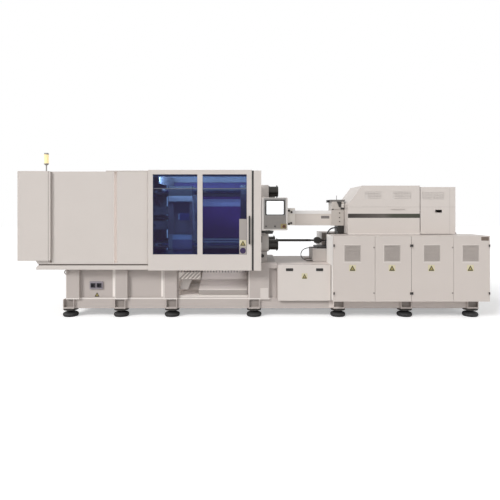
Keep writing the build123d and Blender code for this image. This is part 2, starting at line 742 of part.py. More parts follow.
for level, sign in (("upper", 1), ("lower", -1)):
    rear_pivot = (tail_pivot_x, axis_z + sign * pivot_rise)
    knee = (knee_x, axis_z + sign * knee_rise)
    front_pivot = (moving_pivot_x, axis_z + sign * pivot_rise)
    push_pivot = (crosshead_x, axis_z + sign * push_pivot_rise)
    push_eye = (push_eye_x, axis_z + sign * push_eye_rise)

    # Rear toggle link: two plates joined at the tail pivot, with a short pin at each knee
    with BuildPart() as rear_link:
        for plate_side in (-1, 1):
            plate_start = rear_plate_inner if plate_side > 0 else -rear_plate_outer
            with BuildSketch(Plane.XZ.offset(-plate_start - plate_thickness)):
                link_outline(rear_pivot, knee, link_half_width, eye_radius, eye_radius)
            extrude(amount=plate_thickness)
            pin_start = rear_plate_outer if plate_side > 0 else -front_plate_outer
            with BuildSketch(Plane.XZ.offset(-pin_start - front_plate_outer + rear_plate_outer)):
                with Locations(knee):
                    Circle(knee_pin_radius)
            extrude(amount=front_plate_outer - rear_plate_outer)
        with BuildSketch(Plane.XZ.offset(-rear_plate_outer)):
            with Locations(rear_pivot):
                Circle(eye_radius)
        extrude(amount=2 * rear_plate_outer)
        with BuildSketch(Plane.XZ.offset(-rear_plate_outer)):
            with Locations(rear_pivot):
                Circle(rear_pin_radius + running_gap)
        extrude(amount=2 * rear_plate_outer, mode=Mode.SUBTRACT)
    rear_link.part.label = f"rear_link_{level}"
    export_step(rear_link.part, f"parts/rear_link_{level}.step")

    # Front toggle link: two outer plates joined by the tube that pushes the moving platen
    with BuildPart() as front_link:
        for plate_side in (-1, 1):
            plate_start = front_plate_inner if plate_side > 0 else -front_plate_outer
            with BuildSketch(Plane.XZ.offset(-plate_start - plate_thickness)):
                link_outline(knee, front_pivot, link_half_width, eye_radius, eye_radius)
                with Locations(knee):
                    Circle(knee_pin_radius + running_gap, mode=Mode.SUBTRACT)
            extrude(amount=plate_thickness)
        with BuildSketch(Plane.XZ.offset(-front_plate_outer)):
            with Locations(front_pivot):
                Circle(eye_radius)
        extrude(amount=2 * front_plate_outer)
    front_link.part.label = f"front_link_{level}"
    export_step(front_link.part, f"parts/front_link_{level}.step")

    # Push link from the crosshead to the rear link
    with BuildPart() as push_link:
        for plate_side in (-1, 1):
            plate_start = push_plate_inner if plate_side > 0 else -push_plate_outer
            with BuildSketch(Plane.XZ.offset(-plate_start - push_plate_outer + push_plate_inner)):
                link_outline(push_pivot, push_eye, push_half_width, push_eye_radius, push_eye_radius)
                with Locations(push_pivot):
                    Circle(crosshead_pin_radius + running_gap, mode=Mode.SUBTRACT)
            extrude(amount=push_plate_outer - push_plate_inner)
        with BuildSketch(Plane.XZ.offset(-push_plate_outer)):
            with Locations(push_eye):
                Circle(push_eye_radius)
        extrude(amount=2 * push_plate_outer)
    push_link.part.label = f"push_link_{level}"
    export_step(push_link.part, f"parts/push_link_{level}.step")

# Guard frame: welded square tube, with the sheet roof over the clamp and its skirt
post_outer = cover_face_y - cover_depth
rail_right = seal_right - 2
frame_top = cover_top
rail_z = frame_top - 78
frame_left = front_cover_span[0]
seam_centre = (front_cover_span[1] + middle_cover_span[0]) / 2
frame_right = fixed_panel_right - 5
portal_left = end_cover_right - 41
portal_right = frame_left - 4
portal_outer = end_cover_half_width - end_cover_sheet
with BuildPart() as guard_frame:
    for side_sign in (-1, 1):
        post_y = side_sign * (post_outer + bed_half_width) / 2
        post_depth = post_outer - bed_half_width
        post_xs = [frame_left + post_width / 2, seam_centre, middle_cover_span[1] - post_width / 2]
        with Locations([(x, post_y, (lower_rail_top + rail_z) / 2) for x in post_xs]):
            Box(post_width, post_depth, rail_z - lower_rail_top)
        right_post_bottom = clamp_bed_top - bed_table_thickness
        with Locations((frame_right - post_width / 2, post_y, (right_post_bottom + rail_z) / 2)):
            Box(post_width, post_depth, rail_z - right_post_bottom)
        with Locations(((frame_left + frame_right) / 2, post_y, (rail_z + frame_top) / 2)):
            Box(frame_right - frame_left, post_depth, frame_top - rail_z)
        door_rail_y = side_sign * (bed_half_width + rail_front_y) / 2
        with Locations(((upper_rail_left + rail_right) / 2, door_rail_y, frame_top + 7.5)):
            Box(rail_right - upper_rail_left, rail_front_y - bed_half_width, 15)
        portal_y = side_sign * (portal_outer - 30)
        portal_x = (portal_left + portal_right) / 2
        portal_width = portal_right - portal_left
        portal_low = end_cover_bottom + end_cover_sheet
        portal_high = end_cover_top - end_cover_sheet
        with Locations((portal_x, portal_y, (portal_low + portal_high) / 2)):
            Box(portal_width, 60, portal_high - portal_low)
        for arm_z in (portal_low + 30, rail_z + 30):
            with Locations((portal_x, side_sign * (bed_half_width + portal_outer) / 2, arm_z)):
                Box(portal_width, portal_outer - bed_half_width, 60)
            arm_x = (portal_left + frame_left + post_width) / 2
            with Locations((arm_x, post_y, arm_z)):
                Box(frame_left + post_width - portal_left, post_depth, 60)
    for cross_x in (frame_left + post_width / 2, roof_right - post_width / 2, frame_right - post_width / 2):
        with Locations((cross_x, 0, (rail_z + frame_top) / 2)):
            Box(post_width, 2 * bed_half_width, frame_top - rail_z)
    with Locations(((frame_left + roof_right) / 2, 0, frame_top - roof_sheet / 2)):
        Box(roof_right - frame_left, 2 * bed_half_width, roof_sheet)
    with Locations((roof_right - roof_sheet / 2, 0, (roof_skirt_bottom + rail_z) / 2)):
        Box(roof_sheet, 2 * bed_half_width, rail_z - roof_skirt_bottom)
    sill_low = lower_rail_top + sill_groove
    sill_left = lower_rail_left + 26
    for side_sign in (-1, 1):
        with BuildSketch(Plane.XZ.offset(bed_half_width if side_sign < 0 else -cover_face_y)):
            with BuildLine():
                Polyline(
                    (sill_left - sill_slant, end_cover_bottom - seat_gap),
                    (end_cover_right, end_cover_bottom - seat_gap),
                    (end_cover_right, cover_bottom - seat_gap),
                    (middle_cover_span[1], cover_bottom - seat_gap),
                    (middle_cover_span[1], sill_low),
                    (sill_left, sill_low),
                    close=True,
                )
            make_face()
        extrude(amount=cover_face_y - bed_half_width)
        groove_depth = cover_face_y - bed_half_width - sill_recess
        groove_y = side_sign * (bed_half_width + groove_depth / 2)
        with Locations(((sill_left + middle_cover_span[1]) / 2, groove_y, (lower_rail_top + sill_low) / 2)):
            Box(middle_cover_span[1] - sill_left, groove_depth, sill_groove)
guard_frame.part.label = "guard_frame"
export_step(guard_frame.part, "parts/guard_frame.step")

# Sheet covers over the clamp: folded pans, open towards the frame
cover_height = cover_top - cover_bottom
cover_centre_z = (cover_top + cover_bottom) / 2
with BuildPart() as clamp_cover_front:
    cover_width = front_cover_span[1] - front_cover_span[0]
    with Locations((sum(front_cover_span) / 2, -cover_face_y + cover_depth / 2, cover_centre_z)):
        Box(cover_width, cover_depth, cover_height)
        with Locations((0, cover_sheet, 0)):
            Box(
                cover_width - 2 * cover_sheet,
                cover_depth,
                cover_height - 2 * cover_sheet,
                mode=Mode.SUBTRACT,
            )
clamp_cover_front.part.label = "clamp_cover_front"
export_step(clamp_cover_front.part, "parts/clamp_cover_front.step")

with BuildPart() as clamp_cover_middle:
    cover_width = middle_cover_span[1] - middle_cover_span[0]
    with Locations((sum(middle_cover_span) / 2, -cover_face_y + cover_depth / 2, cover_centre_z)):
        Box(cover_width, cover_depth, cover_height)
        with Locations((0, cover_sheet, 0)):
            Box(
                cover_width - 2 * cover_sheet,
                cover_depth,
                cover_height - 2 * cover_sheet,
                mode=Mode.SUBTRACT,
            )
clamp_cover_middle.part.label = "clamp_cover_middle"
export_step(clamp_cover_middle.part, "parts/clamp_cover_middle.step")

with BuildPart() as clamp_cover_rear:
    cover_width = middle_cover_span[1] - front_cover_span[0]
    cover_x = (middle_cover_span[1] + front_cover_span[0]) / 2
    with Locations((cover_x, cover_face_y - cover_depth / 2, cover_centre_z)):
        Box(cover_width, cover_depth, cover_height)
        with Locations((0, -cover_sheet, 0)):
            Box(
                cover_width - 2 * cover_sheet,
                cover_depth,
                cover_height - 2 * cover_sheet,
                mode=Mode.SUBTRACT,
            )
clamp_cover_rear.part.label = "clamp_cover_rear"
export_step(clamp_cover_rear.part, "parts/clamp_cover_rear.step")

# End cover: a deep sheet hood over the clamp drive, open towards the clamp
with BuildPart() as end_cover:
    end_length = end_cover_right - tail_x
    end_centre_z = (end_cover_bottom + end_cover_top) / 2
    with Locations(((tail_x + end_cover_right) / 2, 0, end_centre_z)):
        Box(end_length, 2 * end_cover_half_width, end_cover_top - end_cover_bottom)
    fillet(end_cover.faces().sort_by(Axis.X)[0].edges().filter_by(Axis.Z), 18)
    with Locations(((tail_x + end_cover_right) / 2 + end_cover_sheet, 0, end_centre_z)):
        Box(
            end_length,
            2 * portal_outer,
            end_cover_top - end_cover_bottom - 2 * end_cover_sheet,
            mode=Mode.SUBTRACT,
        )
end_cover.part.label = "end_cover"
export_step(end_cover.part, "parts/end_cover.step")

# Lower rails along both sides of the clamp bed, with a chamfered tail end
with BuildPart() as lower_rails:
    rail_depth = rail_front_y - bed_half_width
    for side_sign in (-1, 1):
        rail_y = side_sign * (rail_front_y + bed_half_width) / 2
        rail_low_z = (lower_rail_bottom + lower_rail_top) / 2
        with Locations(((lower_rail_left + rail_right) / 2, rail_y, rail_low_z)):
            Box(rail_right - lower_rail_left, rail_depth, lower_rail_top - lower_rail_bottom)
    rail_corners = lower_rails.faces().sort_by(Axis.X)[0:2].edges().filter_by(Axis.Y).group_by(Axis.Z)[-1]
    chamfer(rail_corners, 30)
lower_rails.part.label = "lower_rails"
export_step(lower_rails.part, "parts/lower_rails.step")

# Fixed guard panels beside the doors
fixed_width = fixed_panel_right - seal_right
with BuildPart() as fixed_panels:
    for side_sign in (-1, 1):
        panel_depth = guard_half_width - post_outer
        panel_y = side_sign * (guard_half_width + post_outer) / 2
        with Locations(((fixed_panel_right + seal_right) / 2, panel_y, (door_bottom + fixed_panel_top) / 2)):
            Box(fixed_width, panel_depth, fixed_panel_top - door_bottom)
            with Locations((0, -side_sign * cover_sheet, 0)):
                Box(
                    fixed_width - 2 * cover_sheet,
                    panel_depth,
                    fixed_panel_top - door_bottom - 2 * cover_sheet,
                    mode=Mode.SUBTRACT,
                )
fixed_panels.part.label = "fixed_panels"
export_step(fixed_panels.part, "parts/fixed_panels.step")

# Rubber closing seals on the fixed panels' edges
with BuildPart() as door_seals:
    for side_sign in (-1, 1):
        seal_y = side_sign * (guard_half_width + door_back_y) / 2
        seal_left = door_right + seat_gap
        with Locations(((seal_left + seal_right) / 2, seal_y, (door_bottom + fixed_panel_top) / 2)):
            Box(seal_right - seal_left, door_thickness - 8, fixed_panel_top - door_bottom)
door_seals.part.label = "door_seals"
export_step(door_seals.part, "parts/door_seals.step")

# Operator's sliding door: a welded frame with two windows, hung on the upper rail
door_centre_x = (door_left + door_right) / 2
door_centre_z = (door_bottom + door_top) / 2
door_centre_y = (guard_half_width + door_back_y) / 2
hanger_z = frame_top + 15 + seat_gap
with BuildPart() as front_door:
    with Locations((door_centre_x, -door_centre_y, door_centre_z)):
        Box(door_right - door_left, door_thickness, door_top - door_bottom)
    outer_edges = front_door.faces().sort_by(Axis.Y)[0].edges()
    chamfer(outer_edges, 5)
    for window in (left_window, right_window):
        with Locations((sum(window) / 2, -door_centre_y, (window_bottom + window_top) / 2)):
            Box(window[1] - window[0], door_thickness + 2, window_top - window_bottom, mode=Mode.SUBTRACT)
    with Locations([(x, -door_back_y + 20, (hanger_z + door_top) / 2) for x in hanger_xs]):
        Box(hanger_width, 44, door_top - hanger_z)
front_door.part.label = "front_door"
export_step(front_door.part, "parts/front_door.step")

# Tinted panes of the operator's door
with BuildPart() as front_door_glass:
    for window in (left_window, right_window):
        with Locations((sum(window) / 2, -guard_half_width + 16, (window_bottom + window_top) / 2)):
            Box(window[1] - window[0], glass_thickness, window_top - window_bottom)
front_door_glass.part.label = "front_door_glass"
export_step(front_door_glass.part, "parts/front_door_glass.step")

# Door handle: a round bar on two stand-offs
handle_bar_y = -guard_half_width - handle_reach + handle_radius
with BuildPart() as front_door_handle:
    with Locations((handle_x, handle_bar_y, (handle_low + handle_high) / 2)):
        Cylinder(handle_radius, handle_high - handle_low)
    fillet(front_door_handle.edges().filter_by(GeomType.CIRCLE), 5)
    with BuildSketch(Plane.XZ.offset(guard_half_width)):
        with Locations((handle_x, handle_low + 40), (handle_x, handle_high - 40)):
            Circle(9)
    extrude(amount=handle_reach - handle_radius)
front_door_handle.part.label = "front_door_handle"
export_step(front_door_handle.part, "parts/front_door_handle.step")

# Rear sliding door: a closed sheet door on the far side, with the same handle
field_depth = 12
with BuildPart() as rear_door:
    with Locations((door_centre_x, door_centre_y, door_centre_z)):
        Box(door_right - door_left, door_thickness, door_top - door_bottom)
    chamfer(rear_door.faces().sort_by(Axis.Y)[-1].edges(), 5)
    for window in (left_window, right_window):
        field_x = sum(window) / 2
        field_z = (window_bottom + window_top) / 2
        with Locations((field_x, door_back_y + (door_thickness - field_depth) / 2, field_z)):
            Box(
                window[1] - window[0],
                door_thickness - field_depth,
                window_top - window_bottom,
                mode=Mode.SUBTRACT,
            )
    with Locations([(x, door_back_y - 20, (hanger_z + door_top) / 2) for x in hanger_xs]):
        Box(hanger_width, 44, door_top - hanger_z)
    mirror(front_door_handle.part, about=Plane.XZ)
rear_door.part.label = "rear_door"
export_step(rear_door.part, "parts/rear_door.step")

# Beacon on the end cover: post with two caps, and a lens tube between them
beacon_x = -3391
beacon_y = -bed_half_width
beacon_radius = 38
beacon_stem_height = 138
beacon_lens_height = 144
beacon_cap_height = 28
beacon_lens_low = end_cover_top + beacon_stem_height
beacon_lens_high = beacon_lens_low + beacon_lens_height
beacon_top = beacon_lens_high + beacon_cap_height
with BuildPart() as beacon_post:
    with BuildSketch(Plane.XZ):
        with BuildLine():
            Polyline(
                (0, end_cover_top),
                (30, end_cover_top),
                (30, end_cover_top + 8),
                (10, end_cover_top + 14),
                (10, beacon_lens_low - 34),
                (beacon_radius, beacon_lens_low - 12),
                (beacon_radius, beacon_lens_low),
                (8, beacon_lens_low),
                (8, beacon_lens_high),
                (beacon_radius, beacon_lens_high),
                (beacon_radius - 2, beacon_top - 6),
                (beacon_radius - 12, beacon_top),
                (0, beacon_top),
                close=True,
            )
        make_face()
    revolve(axis=Axis.Z)
beacon_solid = beacon_post.part.moved(Location((beacon_x, beacon_y, 0)))
beacon_solid.label = "beacon_post"
export_step(beacon_solid, "parts/beacon_post.step")

with BuildPart() as beacon_lens:
    with BuildSketch(Plane.XY.offset(beacon_lens_low)):
        with Locations((beacon_x, beacon_y)):
            Circle(beacon_radius - 2)
            Circle(8, mode=Mode.SUBTRACT)
    extrude(amount=beacon_lens_height)
beacon_lens.part.label = "beacon_lens"
export_step(beacon_lens.part, "parts/beacon_lens.step")

# Twin socket unit on the bed's front panel
socket_span = (-2695, -2478)
socket_zs = (454, 576)
with BuildPart() as socket_unit:
    with Locations((sum(socket_span) / 2, -panel_half_width - 12, sum(socket_zs) / 2)):
        Box(socket_span[1] - socket_span[0], 24, socket_zs[1] - socket_zs[0])
    socket_xs = (sum(socket_span) / 2 - 50, sum(socket_span) / 2 + 50)
    with Locations([(x, -panel_half_width - 24, sum(socket_zs) / 2) for x in socket_xs]):
        Box(80, 24, 80)
        Box(52, 40, 52, mode=Mode.SUBTRACT)
socket_unit.part.label = "socket_unit"
export_step(socket_unit.part, "parts/socket_unit.step")

# Operator's panel: arm with its domed hub, housing, screen, keypad and stop button
hmi_y = -hmi_face_y + hmi_depth / 2
hub_top = hmi_bottom - 6
arm_z = hub_top - hmi_hub_height / 2
arm_back_y = -(bed_half_width + post_outer) / 2
with BuildPart() as hmi_arm:
    with Locations((hmi_pivot_x, hmi_y, hub_top)):
        Sphere(hmi_hub_radius)
        with Locations((0, 0, hmi_hub_radius)):
            Box(3 * hmi_hub_radius, 3 * hmi_hub_radius, 2 * hmi_hub_radius, mode=Mode.SUBTRACT)
    with Locations((hmi_pivot_x, hmi_y, hub_top - hmi_hub_height - hmi_hub_radius)):
        Box(3 * hmi_hub_radius, 3 * hmi_hub_radius, 2 * hmi_hub_radius, mode=Mode.SUBTRACT)
    with Locations((hmi_pivot_x, hmi_y, hub_top)):
        Cylinder(20, 6, align=(Align.CENTER, Align.CENTER, Align.MIN))
    with Locations((hmi_pivot_x, (hmi_y + arm_back_y) / 2, arm_z)):
        Box(60, arm_back_y - hmi_y + 50, 32)
    with Locations(((frame_right + hmi_pivot_x) / 2, arm_back_y, arm_z)):
        Box(hmi_pivot_x - frame_right, 50, 32)
hmi_arm.part.label = "hmi_arm"
export_step(hmi_arm.part, "parts/hmi_arm.step")

screen_span = (184, 515)
screen_zs = (1676, 1943)
keypad_span = (174, 526)
keypad_zs = (1457, 1668)
stop_x = 492
stop_z = 1496
stop_travel = 6
with BuildPart() as hmi_case:
    with Locations(((hmi_left + hmi_right) / 2, hmi_y, (hmi_bottom + hmi_top) / 2)):
        Box(hmi_right - hmi_left, hmi_depth, hmi_top - hmi_bottom)
    fillet(hmi_case.edges().filter_by(Axis.Y), 12)
    for span, heights in ((screen_span, screen_zs), (keypad_span, keypad_zs)):
        with Locations((sum(span) / 2, -hmi_face_y, sum(heights) / 2)):
            Box(span[1] - span[0], 12, heights[1] - heights[0], mode=Mode.SUBTRACT)
    with BuildSketch(Plane.XZ.offset(hmi_face_y)):
        with Locations((stop_x, stop_z)):
            Circle(12 + running_gap)
    extrude(amount=-30, mode=Mode.SUBTRACT)
hmi_case.part.label = "hmi_case"
export_step(hmi_case.part, "parts/hmi_case.step")

with BuildPart() as hmi_screen:
    with Locations((sum(screen_span) / 2, -hmi_face_y + 3, sum(screen_zs) / 2)):
        Box(screen_span[1] - screen_span[0], 6, screen_zs[1] - screen_zs[0])
    with Locations((sum(screen_span) / 2, -hmi_face_y, sum(screen_zs) / 2 + 4)):
        Box(267, 4, 205, mode=Mode.SUBTRACT)
hmi_screen.part.label = "hmi_screen"
export_step(hmi_screen.part, "parts/hmi_screen.step")

with BuildPart() as hmi_keypad:
    with Locations((sum(keypad_span) / 2, -hmi_face_y + 3, sum(keypad_zs) / 2)):
        Box(keypad_span[1] - keypad_span[0], 6, keypad_zs[1] - keypad_zs[0])
    with BuildSketch(Plane.XZ.offset(hmi_face_y)):
        with Locations((206, stop_z), (350, stop_z)):
            Circle(12)
    extrude(amount=8)
    with Locations((stop_x, -hmi_face_y - 1, stop_z)):
        Box(84, 2, 76)
    with BuildSketch(Plane.XZ.offset(hmi_face_y + 2)):
        with Locations((stop_x, stop_z)):
            Circle(12 + running_gap)
    extrude(amount=-20, mode=Mode.SUBTRACT)
hmi_keypad.part.label = "hmi_keypad"
export_step(hmi_keypad.part, "parts/hmi_keypad.step")

with BuildPart() as stop_button:
    with BuildSketch(Plane.XZ.offset(hmi_face_y + 2 + stop_travel + 1)):
        with Locations((stop_x, stop_z)):
            Circle(24)
    extrude(amount=14)
    fillet(stop_button.faces().sort_by(Axis.Y)[0].edges(), 6)
    with BuildSketch(Plane.XZ.offset(hmi_face_y + 2 + stop_travel + 1)):
        with Locations((stop_x, stop_z)):
            Circle(12)
    extrude(amount=-24)
stop_button.part.label = "stop_button"
export_step(stop_button.part, "parts/stop_button.step")

# Nozzle touch bar: bolted to the stationary platen, with a clevis and the drive's rod
with BuildPart() as nozzle_touch_bar:
    with BuildSketch(Plane.YZ.offset(fixed_platen_right)):
        with Locations((0, touch_z)):
            Circle(touch_bar_radius + 22)
    extrude(amount=20)
    with BuildSketch(Plane.YZ.offset(fixed_platen_right)):
        with Locations((0, touch_z)):
            Circle(touch_bar_radius)
    extrude(amount=clevis_left - fixed_platen_right)
    with BuildSketch(Plane.XZ.offset(-38)):
        with BuildLine():
            Polyline(
                (clevis_left, touch_z - 36),
                (clevis_left + 34, touch_z - 58),
                (clevis_right - 50, touch_z - 58),
                (clevis_right, touch_z - 26),
                (clevis_right, touch_z + 26),
                (clevis_right - 50, touch_z + 58),
                (clevis_left + 34, touch_z + 58),
                (clevis_left, touch_z + 36),
                close=True,
            )
        make_face()
    extrude(amount=76)
    with BuildSketch(Plane.YZ.offset(clevis_right)):
        with Locations((0, touch_z)):
            Circle(touch_rod_radius)
    extrude(amount=touch_rod_right - clevis_right)
nozzle_touch_bar.part.label = "nozzle_touch_bar"
export_step(nozzle_touch_bar.part, "parts/nozzle_touch_bar.step")

# Injection carriage: a cast slide on the bed rails, with a neck, a deck and two heads
deck_top = deck_bottom + deck_thickness
rail_top = injection_bed_top + injection_rail_height
deck_left = injection_cover_left + thin_wall
deck_right = motor_cover_right - thin_wall
barrel_seat_right = front_head_x + 60
pedestal_plate_left = 1120
pedestal_plate_thickness = 32
motor_left_x = rear_head_x + head_thickness + 105
with BuildPart() as injection_carriage:
    with BuildSketch(Plane.YZ.offset(carriage_left)):
        with BuildLine():
            Polyline(
                (-carriage_half_width, injection_bed_top + 3),
                (-carriage_half_width, carriage_top - 20),
                (-carriage_half_width + 20, carriage_top),
                (carriage_half_width - 20, carriage_top),
                (carriage_half_width, carriage_top - 20),
                (carriage_half_width, injection_bed_top + 3),
                (carriage_half_width - 25, injection_bed_top + 3),
                (carriage_half_width - 25, rail_top + seat_gap),
                (-carriage_half_width + 25, rail_top + seat_gap),
                (-carriage_half_width + 25, injection_bed_top + 3),
                close=True,
            )
        make_face()
    extrude(amount=carriage_right - carriage_left)
    with Locations(((neck_left + neck_right) / 2, 0, (carriage_top + deck_bottom) / 2)):
        Box(neck_right - neck_left, 2 * neck_half_width, deck_bottom - carriage_top)
    with Locations(((deck_left + deck_right) / 2, 0, (deck_bottom + deck_top) / 2)):
        Box(deck_right - deck_left, 2 * (cover_half_width - thin_wall), deck_thickness)
    for head_x in (front_head_x, rear_head_x):
        with Locations((head_x + head_thickness / 2, 0, (deck_top + head_top) / 2)):
            Box(head_thickness, 2 * head_half_width, head_top - deck_top)
    with BuildSketch(Plane.YZ.offset(front_head_x)):
        with Locations((-guide_bar_y, axis_z), (guide_bar_y, axis_z)):
            Circle(guide_bar_radius)
    extrude(amount=rear_head_x - front_head_x)
    with BuildSketch(Plane.YZ.offset(throat_right)):
        with Locations((0, axis_z)):
            Circle(barrel_radius + 35)
    extrude(amount=front_head_x - throat_right)
    with BuildSketch(Plane.YZ.offset(touch_cylinder_left)):
        with Locations((0, touch_z)):
            Circle(touch_cylinder_radius)
    extrude(amount=neck_left - touch_cylinder_left)
    with Locations(((touch_cylinder_left + neck_left + 30) / 2, 0, (carriage_top + touch_z) / 2)):
        Box(neck_left - touch_cylinder_left - 30, 50, touch_z - carriage_top)
    with Locations((pedestal_plate_left + 105, 0, carriage_top + pedestal_plate_thickness / 2)):
        Box(210, 2 * carriage_half_width - 40, pedestal_plate_thickness)
    with BuildSketch(Plane.YZ.offset(motor_left_x)):
        with Locations((0, axis_z)):
            RectangleRounded(260, 260, 30)
    extrude(amount=380)
    with Locations((motor_left_x + 190, 0, (deck_top + axis_z) / 2)):
        Box(320, 160, axis_z - deck_top)
    with BuildSketch(Plane.YZ.offset(throat_right)):
        with Locations((0, axis_z)):
            Circle(barrel_radius + running_gap)
    extrude(amount=barrel_seat_right - throat_right, mode=Mode.SUBTRACT)
    with BuildSketch(Plane.YZ.offset(front_head_x)):
        with Locations((0, axis_z)):
            Circle(screw_radius + 12)
    extrude(amount=head_thickness, mode=Mode.SUBTRACT)
    with BuildSketch(Plane.YZ.offset(rear_head_x)):
        with Locations((0, axis_z)):
            Circle(drive_screw_radius + running_gap)
    extrude(amount=head_thickness, mode=Mode.SUBTRACT)
    with BuildSketch(Plane.YZ.offset(touch_cylinder_left)):
        with Locations((0, touch_z)):
            Circle(touch_rod_radius + running_gap)
    extrude(amount=touch_rod_right + 20 - touch_cylinder_left, mode=Mode.SUBTRACT)
injection_carriage.part.label = "injection_carriage"
export_step(injection_carriage.part, "parts/injection_carriage.step")

# Barrel with its nozzle and the heater bands that stand clear of the cover
band_lefts = (320, 410, 500)
band_width = 70
feed_x = (throat_left + throat_right) / 2
with BuildPart() as barrel:
    with BuildSketch(Plane.XZ):
        with BuildLine():
            Polyline(
                (nozzle_tip_x, 5),
                (nozzle_tip_x, 22),
                (nozzle_tip_x + 12, 38),
                (barrel_left - 50, 40),
                (barrel_left, barrel_radius),
                (barrel_seat_right, barrel_radius),
                (barrel_seat_right, screw_radius),
                (-10, screw_radius),
                (-30, 5),
                close=True,
            )
        make_face()
        for band_left in band_lefts:
            with Locations((band_left + band_width / 2, barrel_radius + 6)):
                Rectangle(band_width, 14)
    revolve(axis=Axis.X)
    with BuildSketch():
        with Locations((feed_x, 0)):
            SlotOverall(2 * feed_hole_radius - 4, 50)
    extrude(amount=barrel_radius + 20, mode=Mode.SUBTRACT)
barrel_solid = barrel.part.moved(Location((0, 0, axis_z)))
barrel_solid.label = "barrel"
export_step(barrel_solid, "parts/barrel.step")

# Plasticising screw in the barrel, with its tip and flights of rings at the screw's pitch
screw_right = plate_x + plate_thickness_x - 20
flight_pitch = 60
flight_width = 9
flight_depth = 7
with BuildPart() as feed_screw:
    with BuildSketch(Plane.XZ):
        with BuildLine():
            Polyline(
                (-6, 0),
                (30, screw_radius - 12),
                (40, screw_radius - running_gap),
                (screw_right, screw_radius - running_gap),
                (screw_right, 0),
                close=True,
            )
        make_face()
        groove_x = 60
        while groove_x + flight_pitch < feed_x + feed_hole_radius:
            with Locations((groove_x + (flight_pitch - flight_width) / 2, screw_radius)):
                Rectangle(flight_pitch - flight_width, 2 * flight_depth, mode=Mode.SUBTRACT)
            groove_x += flight_pitch
    revolve(axis=Axis.X)
feed_screw_solid = feed_screw.part.moved(Location((0, 0, axis_z)))
feed_screw_solid.label = "feed_screw"
export_step(feed_screw_solid, "parts/feed_screw.step")

# Barrel cover: a sheet box round the barrel, with the thick guard block at its front
barrel_cover_height = barrel_cover_top - barrel_cover_bottom
barrel_cover_z = (barrel_cover_top + barrel_cover_bottom) / 2
end_block_bottom = barrel_cover_bottom + 3
with BuildPart() as barrel_cover:
    with BuildSketch(Plane.YZ.offset(barrel_cover_left)):
        with Locations((0, barrel_cover_z)):
            Rectangle(2 * barrel_cover_half_width, barrel_cover_height)
            Rectangle(
                2 * (barrel_cover_half_width - barrel_cover_sheet),
                barrel_cover_height - 2 * barrel_cover_sheet,
                mode=Mode.SUBTRACT,
            )
    extrude(amount=throat_left - barrel_cover_left)
    with BuildSketch(Plane.YZ.offset(barrel_cover_left)):
        with Locations((0, barrel_cover_top - 29)):
            Rectangle(2 * barrel_cover_half_width + 8, 58)
            Rectangle(2 * barrel_cover_half_width, 60, mode=Mode.SUBTRACT)
    extrude(amount=throat_left - barrel_cover_left)
    with BuildSketch(Plane.YZ.offset(end_block_left)):
        with Locations((0, (end_block_bottom + end_block_top) / 2)):
            RectangleRounded(2 * throat_half_width, end_block_top - end_block_bottom, 12)
        with Locations((0, axis_z)):
            Circle(barrel_radius + running_gap, mode=Mode.SUBTRACT)
    extrude(amount=barrel_cover_left - end_block_left)
barrel_cover.part.label = "barrel_cover"
export_step(barrel_cover.part, "parts/barrel_cover.step")

# Feed throat: two machined blocks under a hopper plate with its slide slot
slot_half_width = 60
slot_low = throat_top + 8
slot_right = feed_x - feed_hole_radius + shutter_travel
throat_groove = 7
plate_top = throat_top + hopper_plate_thickness + 4
with BuildPart() as feed_throat:
    with Locations((feed_x, 0, (throat_bottom + throat_step) / 2)):
        Box(throat_right - throat_left, 2 * throat_half_width, throat_step - throat_bottom)
    with Locations((feed_x, 0, throat_step + throat_groove / 2)):
        Box(throat_right - throat_left - 16, 2 * throat_half_width - 16, throat_groove)
    with Locations((feed_x + 4, 0, (throat_step + throat_groove + throat_top) / 2)):
        Box(
            throat_right - throat_left - 8,
            2 * throat_half_width,
            throat_top - throat_step - throat_groove,
        )
    with Locations(((hopper_plate_left + hopper_plate_right) / 2, 0, (throat_top + plate_top) / 2)):
        Box(hopper_plate_right - hopper_plate_left, 2 * throat_half_width, plate_top - throat_top)
    with Locations((feed_x + 55, 0, throat_bottom - 80)):
        Box(100, 2 * barrel_cover_half_width, 160)
    with Locations(((hopper_plate_left + slot_right) / 2, 0, slot_low + shutter_thickness / 2)):
        Box(
            slot_right - hopper_plate_left,
            2 * slot_half_width,
            shutter_thickness + 2 * seat_gap,
            mode=Mode.SUBTRACT,
        )
    with BuildSketch(Plane.XY.offset(axis_z)):
        with Locations((feed_x, 0)):
            Circle(feed_hole_radius)
    extrude(amount=plate_top - axis_z, mode=Mode.SUBTRACT)
    with BuildSketch(Plane.XY.offset(plate_top)):
        with Locations((feed_x, 0)):
            with GridLocations(hopper_bolt_pitch, hopper_bolt_pitch, 2, 2):
                Circle(6)
    extrude(amount=-30, mode=Mode.SUBTRACT)
    with BuildSketch(Plane.YZ.offset(throat_left)):
        with Locations((0, axis_z)):
            Circle(barrel_radius + running_gap)
    extrude(amount=throat_right - throat_left, mode=Mode.SUBTRACT)
feed_throat.part.label = "feed_throat"
export_step(feed_throat.part, "parts/feed_throat.step")

# Hopper shutter: a flat slide with a knob, closed at rest
shutter_left = hopper_plate_left - 28
with BuildPart() as hopper_shutter:
    shutter_right = feed_x - feed_hole_radius - 10 + shutter_travel
    with Locations(((shutter_left + shutter_right) / 2, 0, slot_low + shutter_thickness / 2)):
        Box(shutter_right - shutter_left, 2 * slot_half_width - 2 * seat_gap, shutter_thickness)
    with Locations((hopper_plate_left - 21 - seat_gap, 0, slot_low + shutter_thickness / 2 - 6)):
        Box(41, 90, 44)
hopper_shutter.part.label = "hopper_shutter"
export_step(hopper_shutter.part, "parts/hopper_shutter.step")

